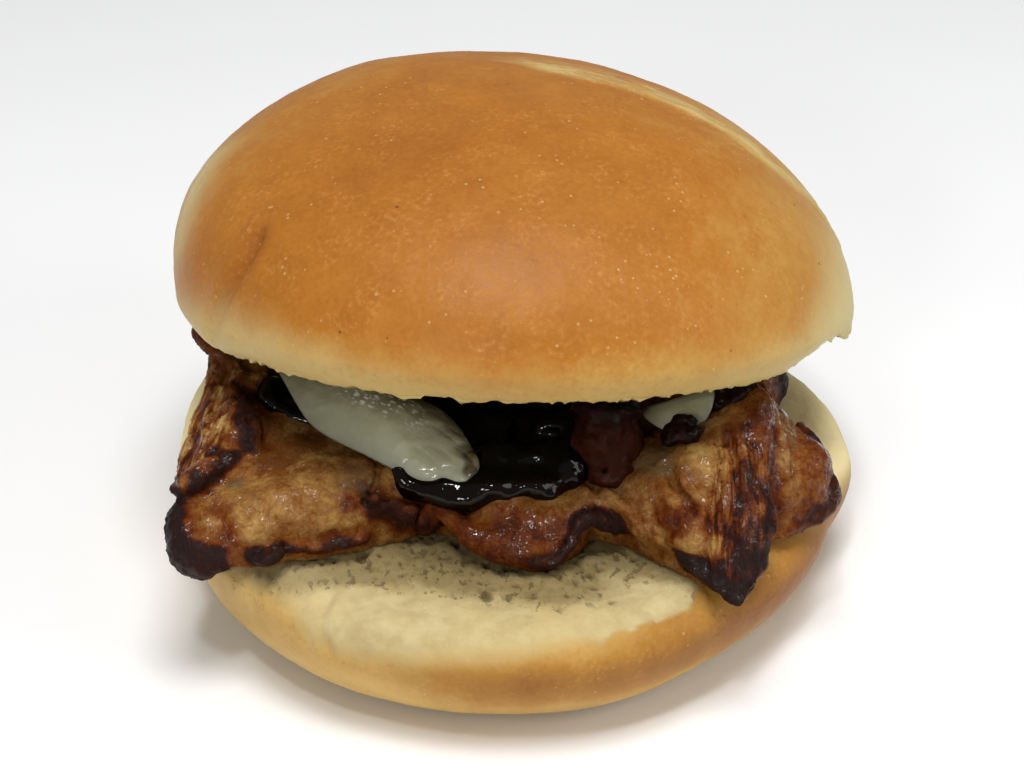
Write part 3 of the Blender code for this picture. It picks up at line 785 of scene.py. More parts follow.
def largest(verts, quads):
    """Keeps the largest connected piece."""
    label = np.arange(len(verts))
    e = np.concatenate([quads[:, [0, 1]], quads[:, [1, 2]], quads[:, [2, 3]], quads[:, [3, 0]]])
    while True:
        m = np.minimum(label[e[:, 0]], label[e[:, 1]])
        new = label.copy()
        np.minimum.at(new, e[:, 0], m)
        np.minimum.at(new, e[:, 1], m)
        new = new[new]
        new = new[new]
        if np.array_equal(new, label):
            break
        label = new
    keep = label == np.bincount(label[quads[:, 0]]).argmax()
    number = np.cumsum(keep) - 1
    return verts[keep], number[quads[keep[quads[:, 0]]]]


def mean_of_neighbours(verts, quads):
    n = len(verts)
    total, count = np.zeros((n, 3)), np.zeros(n)
    for a, b in ((0, 1), (1, 2), (2, 3), (3, 0)):
        for s, t in ((a, b), (b, a)):
            for k in range(3):
                total[:, k] += np.bincount(quads[:, s], verts[quads[:, t], k], n)
            count += np.bincount(quads[:, s], minlength=n)
    return total / count[:, None]


def net_normals(verts, quads):
    d1 = verts[quads[:, 2]] - verts[quads[:, 0]]
    d2 = verts[quads[:, 3]] - verts[quads[:, 1]]
    f = np.cross(d1, d2)
    n = np.zeros_like(verts)
    for c in range(4):
        for k in range(3):
            n[:, k] += np.bincount(quads[:, c], f[:, k], len(verts))
    return n / np.maximum(np.linalg.norm(n, axis=1, keepdims=True), 1e-9)


# ------------------------------------------------------------------ fillet
FILLET_R = 53.0
FILLET_LOBES = [(218, 12.5, 13.0), (252, 28.0, -24.0), (298, 18.0, -20.0), (308, 7.4, 20.0), (336, 8.5, 5.6),
                (353, 15.0, -12.5), (84, 80.0, -11.5)]
FILLET_BUMPS = [(-46, 2, 9, 8.0), (-44, -14, 8, 4.5), (-46, -37, 9, -5.0), (5, -34, 9, -4.0), (-15, -33, 5, -2.5), (27, -27, 8, 4.5),
                (35, -21, 7, 7.0), (38, -8, 8, 8.0), (49, -22, 8, -4.5), (33, -43, 8, -7.0), (0, 24, 24, 5.0)]


def fillet_reach(x, y):
    deg = np.degrees(np.arctan2(y, x))
    r = FILLET_R + 0 * deg
    for at, width, reach in FILLET_LOBES:
        r = r + reach * turn(deg, at, width)
    return r


def fillet_high(x, y):
    high = 30.5 + 0 * x
    for bx, by, radius, height in FILLET_BUMPS:
        high = high + height * np.exp(-((x - bx) ** 2 + (y - by) ** 2) / (radius * radius))
    return np.minimum(high, crown_under(x, y) - 0.4)


def fillet_low(x, y):
    rho = np.hypot(x, y)
    over = HEEL_H + 0.3 - 2.0 * smooth((rho - HEEL_R - 0.8) / 3.0)
    return np.where(rho > HEEL_R - 4.0, over, heel_top(x, y) + 0.1)


def fillet_skin(x, y):
    s = np.hypot(x, y) / fillet_reach(x, y)
    low, high = fillet_low(x, y), fillet_high(x, y)
    mid = low + 0.2 * (high - low)
    return np.where(s >= 1, mid, mid + (high - mid) * np.maximum(1 - np.minimum(s, 1) ** 3.6, 0) ** (1 / 3.6))


FLAP_OUTER = [(-46.6, -2.2, 35.2), (-47.3, -8.0, 32.8), (-48.5, -14.4, 30.4), (-49.1, -20.0, 28.6), (-49.4, -25.4, 27.0)]
FLAP_INNER = [(-41.6, -4.6, 35.2), (-41.6, -9.5, 35.0), (-41.4, -14.6, 34.4), (-41.8, -19.2, 32.9), (-42.4, -22.8, 31.4)]
FLAP_TONES = (0.10, 0.44, 0.20, 0.50, 0.06, 0.40, 0.06, 0.26)
FLAP_ROLL = ([(-49.6, -26.6, 27.2), (-47.8, -27.4, 28.5), (-45.8, -27.2, 29.5), (-43.8, -25.8, 30.5), (-41.9, -23.6, 31.4)], (1.0, 1.5, 1.8, 1.6, 1.0))
KNOB = ([(-41.4, -9.5, 33.6), (-40.6, -14.0, 33.4), (-39.6, -17.6, 32.9), (-38.4, -20.6, 31.6)], (1.3, 2.3, 2.5, 1.3))
FOLD = ([(-44.6, -2.6, 36.0), (-43.2, -5.4, 35.4), (-41.4, -7.6, 35.0), (-39.8, -8.0, 34.6), (-38.8, -5.0, 34.4), (-38.4, -1.4, 34.9)], 0.9)
STUB = ([(-48.4, 0.2, 38.4), (-46.9, -1.2, 37.2), (-45.2, -2.4, 36.2), (-43.6, -4.4, 35.4), (-42.4, -6.6, 35.0)], (1.5, 1.4, 1.2, 1.0, 0.7))
CHAR_TIP = ([(-48.6, -28.5, 24.6), (-48.6, -31.5, 24.0), (-47.0, -34.6, 23.0), (-44.6, -36.6, 21.8), (-42.2, -37.4, 21.4)], (0.9, 1.8, 2.9, 2.6, 1.4))
CHAR_SIDE = ([(-36.4, -38.0, 22.6), (-34.8, -38.2, 23.0), (-33.2, -37.6, 23.4)], (1.0, 1.5, 1.0))
LIP_RED = ([(-31.6, -35.9, 22.8), (-27.8, -34.7, 22.3), (-24.3, -33.4, 22.3), (-21.2, -31.9, 22.0)], 0.8)
CREASE = [(-20.3, -30.0, 27.8), (-18.9, -30.0, 26.4), (-17.2, -30.1, 26.9), (-16.6, -29.9, 25.2), (-15.0, -29.8, 25.4), (-14.8, -29.4, 23.6), (-12.8, -28.7, 23.8),
          (-12.6, -28.2, 22.2), (-11.0, -28.2, 22.6), (-18.2, -29.6, 24.4), (-19.6, -29.4, 25.4)]
TONGUE = [(-12.6, -27.4, 26.0), (-9.6, -29.8, 25.0), (-6.0, -32.8, 23.8), (-2.0, -34.0, 22.6), (2.0, -34.8, 21.9), (5.6, -35.2, 21.6)]
S_LIP = ([(3.4, -37.0, 21.4), (5.4, -37.4, 21.6), (7.4, -36.8, 22.4), (8.8, -35.8, 23.6), (9.2, -34.9, 25.0), (9.8, -33.9, 26.3), (11.0, -33.0, 26.7),
          (12.6, -32.4, 26.3), (14.2, -31.8, 25.0), (15.4, -31.0, 23.4)], (0.5, 0.9, 1.0, 1.05, 1.1, 1.2, 1.25, 1.25, 1.15, 0.7))
LOWER_EDGE = ([(15.2, -29.8, 24.2), (18.4, -31.8, 24.0), (21.6, -33.8, 24.4), (24.4, -36.6, 24.2)], (0.9, 1.2, 1.2, 1.1))
BLADE = ([(24.4, -38.0, 23.1), (27.6, -41.2, 22.4), (30.2, -43.6, 21.5), (32.8, -45.4, 20.6)], (1.0, 1.25, 1.3, 1.0))
CORNER_INNER = [(30.4, -27.6, 34.6), (30.0, -32.6, 32.2), (29.6, -37.2, 28.8), (29.2, -41.2, 25.0), (30.8, -43.2, 22.0)]
CORNER_OUTER = [(36.2, -27.2, 33.2), (37.3, -32.0, 30.4), (37.9, -36.6, 27.2), (35.0, -41.0, 24.2), (32.6, -44.4, 21.3)]
CORNER_TONES = (0.10, 0.30, 0.16, 0.42, 0.20, 0.46, 0.58, 0.38, 0.62)
RED_BAND = [(22.8, -34.8, 28.4), (24.4, -35.8, 28.8), (26.4, -36.6, 28.6), (28.2, -37.2, 28.0), (30.0, -37.4, 28.0), (23.8, -36.0, 27.2),
            (27.0, -37.4, 27.4), (30.4, -36.2, 29.6)]


def fan(side_a, side_b, i, n):
    """The i-th of n strands spread between two guide lines, each with its own sway."""
    t = (i + 0.5) / n
    a, b = np.array(side_a), np.array(side_b)
    pts = (1 - t) * a + t * b
    k = np.arange(len(pts))
    pts = pts + np.stack([0.35 * np.sin(5.0 * i + 1.7 * k), 0 * k, 0.25 * np.cos(3.0 * i + 1.3 * k)], -1)
    return pts[(i * 5) % 2:], 0.80 + 0.22 * math.sin(4.3 * i + 1.0)


RIDGE = ([(31.8, -24.6, 36.2), (32.9, -27.6, 35.2), (33.5, -30.6, 33.4), (33.4, -34.6, 31.0)], (0.8, 1.1, 1.1, 0.8))
AMBER = ([(35.4, -12.0, 37.2), (36.4, -18.0, 36.6), (36.0, -23.0, 35.0), (37.4, -28.0, 31.2)], (1.6, 2.3, 2.2, 1.2))
SKIN_EDGE = ([(37.8, -11.6, 38.0), (38.6, -15.4, 36.8), (39.6, -19.6, 34.8), (40.2, -23.4, 31.8), (39.7, -27.2, 28.8), (39.4, -29.4, 25.6)], (0.5, 0.6, 0.6, 0.55, 0.5, 0.4))
RIGHT_RIM = ([(44.0, -13.0, 30.2), (45.7, -15.2, 28.2), (47.2, -18.0, 26.2), (48.2, -21.0, 24.0), (47.2, -23.8, 22.9), (44.8, -25.6, 22.6), (42.6, -26.8, 22.8)],
             (0.9, 1.2, 1.3, 1.35, 1.2, 1.0, 0.8))
UNDER_EDGE = ([(39.4, -29.6, 21.4), (42.2, -28.0, 21.6), (45.0, -26.0, 21.8)], (0.8, 0.8, 0.6))
STEM = ([(28.9, -24.6, 35.9), (30.4, -22.6, 36.9), (32.0, -20.4, 37.8)], (0.9, 0.8, 0.7))


def fillet_field():
    g = Field((-57, -50, 15.5), (57, 48, 43.5), 0.5, seed=3)
    x, y = g.q[:, :, 20, 0], g.q[:, :, 20, 1]
    reach = fillet_reach(x, y)
    ring = np.stack([x, y, 0 * x], -1)
    reach = reach + 0.7 * fbm(ring, 7, 3, 101) - 0.3
    high = fillet_high(x, y) + 0.6 * fbm(ring, 11, 3, 103)
    high = np.minimum(high, crown_under(x, y) - 0.3)
    low = fillet_low(x, y)
    z = g.q[..., 2]

    def smax(a, b, k):
        t = np.clip(0.5 + 0.5 * (a - b) / k, 0, 1)
        return b + (a - b) * t + k * t * (1 - t)

    side = (np.hypot(x, y) - reach)[..., None] + 0.9 * ((z - 22.5) / 5.0) ** 2 * (z > 22.5)
    g.f = smax(smax(z - high[..., None], side, 4.5), low[..., None] - z, 2.4)
    g.level()
    # left lobe and its curled, stringy flap
    g.blob((-33, -29, 25.5), (11, 6, 3.6), 3, turn=15)
    g.blob((-41, -31, 25.0), (6, 5, 3.4), 2)
    g.tube([(-45.2, -4.0, 33.0), (-45.8, -12.0, 30.8), (-46.6, -19.0, 29.0), (-46.8, -24.0, 27.8)], (1.5, 1.9, 1.9, 1.2), 0.8)
    g.tube([(-42.6, -6.0, 33.2), (-43.0, -13.0, 32.0), (-43.8, -20.0, 30.2)], (1.5, 1.8, 1.5), 0.8)
    for i in range(8):
        pts, r = fan(FLAP_OUTER, FLAP_INNER, i, 8)
        g.tube(pts, r, 0.2)
    g.tube(*FLAP_ROLL, 0.25)
    g.tube([(-50.2, -28.0, 26.2), (-47.4, -29.5, 27.6), (-45.0, -29.4, 28.4), (-42.4, -27.6, 29.6), (-40.6, -25.2, 30.6)], (0.7, 0.9, 0.9, 0.9, 0.6), 0.4, cut=True)
    for k, (dx, dz) in enumerate(((-0.9, 0.2), (0.9, 0.3), (1.9, -0.5))):
        g.tube([(-41.8 + dx, -11.5 - k, 35.2 + dz), (-40.4 + dx, -16.5, 34.9 + dz), (-38.6 + dx, -20.5, 33.0 + dz)], 0.1, 0.1)
    g.tube(*KNOB, 0.5)
    for dx in (-1.5, 0.1, 1.5):
        g.tube([(-41.6 + dx, -13.0, 36.1), (-40.6 + dx, -17.5, 35.2), (-39.4 + dx, -21.5, 32.4)], 0.42, 0.4, cut=True)
    g.tube(*FOLD, 0.3)
    g.tube(*STUB, 0.3)
    g.blob((-41.3, -7.0, 33.6), (2.4, 2.6, 1.6), 1.2)
    g.tube([(-36.6, -9.5, 33.0), (-37.2, -15, 32.4), (-36.2, -20.4, 31.6)], 0.9, 1.2, cut=True)
    g.tube(*CHAR_TIP, 1.2)
    g.tube(*CHAR_SIDE, 0.7)
    g.tube(*LIP_RED, 0.8)
    # middle, with the wrinkled crease
    g.blob((-22.6, -25.2, 28.6), (2.6, 4.4, 2.2), 1.4, turn=-25)
    g.tube([(-25.4, -30.4, 27.4), (-25.0, -27.4, 29.6), (-23.6, -24.0, 30.8)], 0.55, 0.8, cut=True)
    g.tube([(-21.4, -30.0, 27.6), (-20.0, -27.4, 29.0), (-19.6, -24.0, 30.6)], 0.6, 0.8, cut=True)
    g.blob((-27.0, -25.5, 29.4), (3.2, 4.0, 1.8), 1.5)
    for i, at in enumerate(CREASE):
        r = 1.2 + 0.4 * math.sin(4.7 * i)
        g.blob(at, (r, r * 0.9, r), 0.25)
    # tongue with its rolled lip
    g.tube(TONGUE, (0.8, 1.4, 2.2, 2.7, 2.4, 1.4), 1.6)
    g.tube([(-3.0, -29.4, 25.0), (3.0, -31.0, 24.6), (8.0, -31.0, 24.8)], (2.6, 3.0, 2.4), 1.8)
    g.blob((13.0, -33.6, 21.6), (3.0, 2.4, 2.8), 0.5, cut=True)
    g.tube([(14.6, -35.0, 20.8), (18.4, -36.4, 21.3), (22.0, -38.2, 21.4)], (2.4, 3.0, 2.7), 0.8, cut=True)
    g.tube(*S_LIP, 0.2)
    g.tube(*LOWER_EDGE, 0.9)
    # tan wet meat to the right of it, pulled into soft fibres
    for i in range(11):
        t = i / 10
        a = np.array([7.5 + 15.5 * t, -27.2 - 2.0 * t + 1.2 * math.sin(2.7 * i), 28.0 + 2.2 * t])
        b = a + np.array([4.6 + 1.2 * math.sin(3.1 * i), -3.6 - 1.2 * math.cos(1.9 * i), -3.6])
        g.tube([a, 0.5 * (a + b) + np.array([0, -0.5, 0.6]), b], (0.7, 1.1, 0.6), 0.9)
    # pale bulge, red band, cream flank
    g.tube([(22.6, -29.4, 32.8), (23.2, -32.6, 31.0), (25.6, -35.0, 29.8)], 0.8, 1.0, cut=True)
    g.blob((27.6, -28.4, 31.6), (4.9, 5.0, 4.4), 0.9, turn=-20)
    g.blob((19.8, -23.5, 31.0), (3.0, 3.4, 2.4), 1.8)
    for i, at in enumerate(RED_BAND):
        r = 1.3 + 0.3 * math.sin(3.3 * i + 1)
        g.blob(at, (r, r, r), 0.5)
    g.blob((26.0, -37.0, 25.6), (3.4, 2.6, 2.6), 1.4)
    g.blob((21.4, -33.2, 24.6), (3.6, 2.4, 2.6), 1.6)
    # charred corner: bundle of fibres ending in a straight burnt edge
    g.tube([(32.6, -27.0, 33.0), (33.4, -33.0, 29.4), (33.6, -38.6, 25.4), (32.4, -42.4, 22.0)], (2.0, 2.6, 2.7, 1.6), 1.0)
    for i in range(9):
        pts, r = fan(CORNER_INNER, CORNER_OUTER, i, 9)
        g.tube(pts, r, 0.2)
    g.tube(*BLADE, 0.2, straight=True)
    for back, up in ((2.8, -1.6), (0.0, 0.0), (-2.6, 1.5)):
        g.tube([(42.2, -37.4 + back, 26.2 + up), (38.3, -42.0 + back, 23.0 + up), (34.6, -45.6 + back, 19.6 + up), (32.6, -47.4 + back, 17.8 + up)], 2.4, 0.2, cut=True, straight=True)
    g.tube(*RIDGE, 0.5)
    g.tube(*AMBER, 1.2)
    g.tube([(34.2, -15.0, 36.6), (34.4, -20.4, 35.6), (34.2, -25.2, 33.6)], 0.6, 0.7, cut=True)
    g.tube(*SKIN_EDGE, 0.25)
    g.tube([(40.4, -12.0, 36.8), (41.2, -17.4, 34.8), (41.7, -21.6, 32.2), (41.2, -26.0, 28.6)], 0.5, 0.8, cut=True)
    g.tube([(37.2, -14.0, 37.6), (37.8, -18.4, 36.4), (38.2, -22.8, 34.0), (37.8, -27.6, 30.4)], 0.3, 0.7, cut=True)
    g.blob((43.6, -19.5, 27.4), (4.6, 5.6, 3.4), 1.8)
    g.tube(*RIGHT_RIM, 0.8)
    g.tube(*UNDER_EDGE, 0.5)
    g.tube([(39.6, -30.6, 23.0), (42.8, -28.6, 22.6), (46.6, -26.6, 22.8)], 0.7, 0.4, cut=True)
    g.tube(*STEM, 0.3)
    # ragged back and sides
    for i in range(14):
        a = math.radians(16 + 12.0 * i)
        r = float(fillet_reach(math.cos(a), math.sin(a))) - 2.2 + 1.6 * math.sin(3.7 * i)
        at = (r * math.cos(a), r * math.sin(a), 23.6 + 1.6 * math.sin(2.3 * i))
        g.blob(at, (3.4 + math.sin(5 * i), 2.6, 2.4), 1.4, turn=math.degrees(a) + 90, cut=(i % 4 == 2))
    return g


def tone(p, pts, reach, soft, amount):
    """An amount on a polyline that fades out round reach."""
    d, _ = along(p, pts)
    return amount * (1 - step(d, reach - soft, reach + soft))


def near(p, pts, reach, soft=1.0):
    return tone(p, pts, reach, soft, 1.0)


def spot(p, at, radii, soft=0.45):
    d = np.linalg.norm((p - np.array(at)) / np.array(radii), axis=-1)
    return 1 - step(d, 1 - soft, 1 + soft)


def strands(p, way, size, seed):
    """Noise drawn out along a direction."""
    way = np.array(way) / np.linalg.norm(way)
    return vnoise(p - 0.82 * (p @ way)[..., None] * way, size, seed)


WAY_LEFT, WAY_CORNER = (-0.22, -0.85, -0.45), (-0.03, -0.80, -0.60)


def fillet_piece(g, mat):
    verts, quads = g.net()
    n = net_normals(verts, quads)
    p = verts
    w = p + 0.8 * np.stack([fbm(p, 3.2, 2, 201), fbm(p, 3.2, 2, 204), fbm(p, 3.2, 2, 207)], -1) * 1.6
    x, y, z = p.T
    out = np.hypot(x, y) / fillet_reach(x, y)
    back = step(y, -8, 2)
    corner = np.zeros(len(p))
    fans = [(fan(CORNER_INNER, CORNER_OUTER, i, 9)[0], CORNER_TONES[i]) for i in range(9)]
    flaps = [(fan(FLAP_OUTER, FLAP_INNER, i, 8)[0], FLAP_TONES[i]) for i in range(8)]
    for pts, _ in fans[::2]:
        corner = np.maximum(corner, near(p, pts, 2.2, 0.9))
    left = np.zeros(len(p))
    for pts, _ in flaps[::2]:
        left = np.maximum(left, near(p, pts, 1.9, 0.8))
    s_corner = strands(0.75 * p + 0.25 * w, WAY_CORNER, 1.15, 211)
    s_left = strands(0.7 * p + 0.3 * w, WAY_LEFT, 1.1, 213)
    lines = corner * s_corner + left * s_left
    # how far each place is cooked: 0 pale, 0.25 tan, 0.5 orange brown, 0.7 red brown, 1 char
    more = np.zeros(len(p))

    def add_tone(v):
        np.maximum(more, v, out=more)

    tip_line = 27.9 - 0.36 * (x + 49) + 1.3 * fbm(p, 5, 3, 261) - z
    tip = step(-40.6 - x + 1.2 * fbm(p, 4, 3, 263), -0.9, 0.9) * step(-y, 26.5, 29.0)
    add_tone(0.70 * step(tip_line, -0.3, 1.5) * tip)
    add_tone(0.24 * step(tip_line, -2.2, 0.6) * step(-39.6 - x, -1.5, 1.5) * step(-y, 26.0, 29.0))
    q = 0.5 * (p + w)
    add_tone(tone(q, CHAR_SIDE[0], 2.3, 0.6, 0.74))
    add_tone(tone(q, CHAR_SIDE[0], 3.2, 1.0, 0.24))
    add_tone(tone(w, KNOB[0], 2.8, 0.7, 0.62))
    add_tone(tone(w, CREASE[:9], 2.6, 1.2, 0.42))
    add_tone(tone(w, CREASE[:9], 1.7, 0.8, 0.58))
    add_tone(tone(w, CREASE[9:], 1.7, 0.9, 0.50))
    add_tone(tone(p, BLADE[0], 2.0, 0.35, 0.70))
    add_tone(tone(q, BLADE[0][1:], 2.7, 0.6, 0.40))
    low_corner = step(-z - 0.25 * y, -23.5, -15.5)
    outer = step(x, 29.0, 34.5)
    add_tone(corner * (0.14 + 0.34 * low_corner * (0.3 + 0.7 * outer) + 0.16 * s_corner))
    for pts, amount in fans:
        add_tone(tone(w, pts, 0.95, 0.4, 1.0) * (amount * (0.45 + 0.55 * step(-z, -33.5, -27.5)) + 0.22 * low_corner * (0.3 + 0.7 * outer)))
    add_tone(0.36 * spot(w, (32.0, -35.2, 30.6), (1.5, 3.6, 2.8)))
    add_tone(tone(q, RIDGE[0][:3], 1.2, 0.5, 0.18))
    add_tone(tone(q, RIDGE[0][2:], 1.7, 0.6, 0.42))
    add_tone(tone(q, RIGHT_RIM[0][1:6], 2.6, 0.9, 0.44))
    add_tone(tone(q, RIGHT_RIM[0][1:6], 4.4, 2.0, 0.20))
    for pts, amount in flaps:
        add_tone(tone(w, pts, 1.05, 0.4, amount) * (1 + 0.3 * s_left))
    add_tone(0.14 * left * step(s_left, 0.0, 0.4))
    add_tone(tone(w, FLAP_ROLL[0], 2.1, 0.5, 0.54))
    add_tone(tone(w, STUB[0][:3], 2.1, 0.6, 0.46))
    add_tone(tone(w, STUB[0][2:], 1.6, 0.6, 0.26))
    add_tone(tone(w, LIP_RED[0], 1.1, 0.5, 0.48))
    add_tone(tone(w, LIP_RED[0], 2.3, 1.1, 0.18))
    add_tone(tone(w, RED_BAND[:6], 2.2, 0.9, 0.34) * (0.8 + 0.5 * vnoise(p, 1.3, 215)))
    add_tone(tone(q, S_LIP[0][5:], 1.8, 0.4, 0.60))
    add_tone(tone(q, S_LIP[0][:6], 1.6, 0.5, 0.46))
    add_tone(tone(w, TONGUE, 6.2, 2.4, 0.32) * (0.85 + 0.5 * fbm(p, 4, 2, 219)))
    add_tone(tone(w, TONGUE, 1.8, 1.0, 0.36))
    add_tone(tone(w, [(-46.0, -27.2, 27.0), (-43.0, -28.4, 27.2)], 0.8, 0.5, 0.38))
    add_tone(0.26 * spot(w, (-42.0, -33.4, 28.0), (2.6, 2.2, 1.6)))
    add_tone(0.22 * spot(w, (-40.6, -36.0, 26.0), (1.8, 1.6, 2.4)))
    add_tone(0.13 * spot(w, (-32.0, -35.2, 26.6), (3.4, 1.6, 1.4)))
    add_tone(0.30 * spot(w, (-23.9, -31.7, 28.0), (1.7, 1.4, 1.5)))
    add_tone(tone(w, [(-40, -35.8, 24.8), (-36, -36, 24)], 1.6, 1.0, 0.18))
    add_tone(tone(w, AMBER[0], 3.0, 1.6, 0.24))
    add_tone(tone(w, [(36.5, -28, 29.8), (38.4, -29.8, 26.4)], 2.2, 1.2, 0.24))
    add_tone(0.14 * spot(w, (44.6, -21.6, 27.0), (3.6, 3.4, 3.0)))
    add_tone(tone(w, [(16, -30, 23), (19.4, -30.6, 22.8), (22.8, -33.6, 22.6)], 1.3, 0.8, 0.24))
    add_tone(tone(w, [(12.4, -27.4, 28.2), (17.0, -27.6, 28.6), (21, -28.6, 30)], 1.2, 0.9, 0.14))
    add_tone(back * 0.60 * step(out + 0.10 * fbm(p, 9, 2, 221), 0.95, 1.05))
    add_tone(back * (0.12 + 0.45 * step(fbm(p, 10, 3, 223), 0.08, 0.5)))
    less = 0.19 * spot(q, (28.4, -29.6, 34.0), (4.0, 4.2, 3.2), 0.3)
    less = np.maximum(less, 0.16 * near(w, SKIN_EDGE[0], 1.0, 0.5))
    less = np.maximum(less, 0.14 * spot(w, (26.8, -39.6, 26.8), (2.4, 2.2, 2.4)))
    less = np.maximum(less, 0.30 * spot(w, (29.0, -40.2, 26.4), (2.2, 1.6, 1.8)))
    less = np.maximum(less, 0.18 * near(w, STEM[0], 1.2, 0.5))
    less = np.maximum(less, 0.16 * left * step(-s_left, 0.0, 0.4))
    less = np.maximum(less, 0.06 * spot(w, (-31.4, -31.6, 28.4), (7.4, 3.8, 3.2)))
    less = np.maximum(less, 0.10 * spot(w, (-25.2, -32.6, 26.6), (4.2, 2.6, 2.2)))
    less = np.maximum(less, 0.12 * spot(w, (17.0, -28.0, 26.4), (5.0, 3.0, 3.0)))
    # dark amber glaze in hollows, partly painted shade under the flap, onion, sauce and crown rim, and greyish wet
    # places
    amber_and_shade = near(w, [(-44.4, -3.6, 34.6), (-42.0, -6.8, 34), (-42.6, -11, 33.6)], 2.2, 1.2)
    amber_and_shade = np.maximum(amber_and_shade, near(w, [(-37.4, -13, 31.6), (-36, -20.4, 31), (-35.2, -24.4, 30)], 3.0, 1.8))
    amber_and_shade = np.maximum(amber_and_shade, near(w, FOLD[0], 1.4, 0.7))
    amber_and_shade = np.maximum(amber_and_shade, 0.95 * near(w, [(-30.6, -19.0, 31), (-33.6, -22.4, 30.4)], 3.2, 1.6))
    amber_and_shade = np.maximum(amber_and_shade, 0.6 * near(w, [(-27.0, -19.6, 31), (-22.0, -22.4, 30.6)], 2.0, 1.6))
    amber_and_shade = np.maximum(amber_and_shade, 0.75 * spot(w, (33.6, -16.4, 36), (3.4, 6.0, 3.0)))
    amber_and_shade = np.maximum(amber_and_shade, 0.5 * near(w, [(16, -22, 31.6), (21, -21, 32.6), (25, -20, 33)], 2.4, 1.6))
    grey = spot(w, (20.4, -27.4, 32.8), (3.6, 3.8, 3.2))
    grey = np.maximum(grey, 0.9 * spot(w, (-40.6, -28.6, 29.6), (1.9, 1.4, 1.4)))
    grey = np.maximum(grey, 0.6 * spot(w, (-22.4, -28.0, 30.6), (3.4, 4.2, 3.0), 0.7))
    grey = np.maximum(grey, 0.6 * near(w, [(12.5, -27.6, 27.0), (17.4, -27.0, 29.0)], 2.4, 1.4))
    grey = np.maximum(grey, 0.5 * near(w, [(10.4, -33.2, 22.2), (6.6, -34.8, 21.6)], 0.9, 0.5))
    # relief: coarse lumps, fibres, furrows, crusty char
    crust = np.clip(step(more, 0.45, 0.62) * (1 - 0.85 * corner) * (1 - 0.8 * near(p, BLADE[0], 2.2, 0.6)) + 0.6 * near(w, CREASE[:8], 2.6, 1.0) + 0.5 * near(w, RED_BAND[:6], 2.2, 0.8), 0, 1)
    fibrous = np.clip(corner + left, 0, 1)
    lump = 0.24 * fbm(p, 3.4, 3, 231) * (1 - 0.4 * fibrous)
    fine = 0.11 * vnoise(w, 1.2, 235)
    f1, _ = cells(w, 1.4, 241)
    crag = crust * (0.46 * (0.5 - f1) + 0.16 * vnoise(p, 0.9, 243))
    fold = -0.20 * np.clip(1 - np.abs(vnoise(w, 2.4, 245)) * 6, 0, 1) * (1 - crust) * (1 - fibrous)
    groove = np.clip(1 - np.abs(np.where(corner > left, s_corner, s_left)) * 4.5, 0, 1) * fibrous
    d = lump + fine + crag + fold + 0.30 * lines - 0.42 * groove + 0.12 * fibrous * strands(p, WAY_CORNER, 0.8, 217)
    # painted shade: the hollows of the relief are cooked darker, the raised places a little lighter
    cavity_shade = np.clip(-d / 0.45, -0.6, 1)
    right_side = step(x, 12, 17)
    # painted shade: the 0.07 spot darkens the top of the left lobe, where the overhead light falls most
    done = 0.22 + 0.07 * spot(p, (-32, -30, 30), (12, 8, 3), 0.5) + 0.05 * right_side + 0.05 * step(x, -12, -6) * (1 - right_side) + 0.16 * fbm(p, 8, 3, 251) + 0.12 * fbm(p, 2.4, 3, 253) + more - less + 0.13 * cavity_shade + 0.07 * step(x, -14, 4)
    wet = np.clip(1 - 0.8 * crust - 0.5 * back - 0.75 * corner * low_corner, 0.08, 1) * (0.22 + 0.78 * step(n[:, 2], 0.05, 0.5))
    attrs = dict(done=np.clip(done, 0, 1.1), amber_and_shade=amber_and_shade, grey=grey, wet=wet, corner=corner, flap=left)
    return make("grilled_fillet", p + n * d[:, None], [quads], mat, attrs)


DONE = [(0.0, (186, 152, 94)), (0.13, (162, 121, 64)), (0.27, (134, 92, 46)), (0.40, (116, 65, 20)), (0.52, (98, 44, 10)), (0.64, (72, 29, 8)),
        (0.76, (50, 21, 12)), (0.88, (40, 22, 18)), (1.0, (36, 23, 21))]


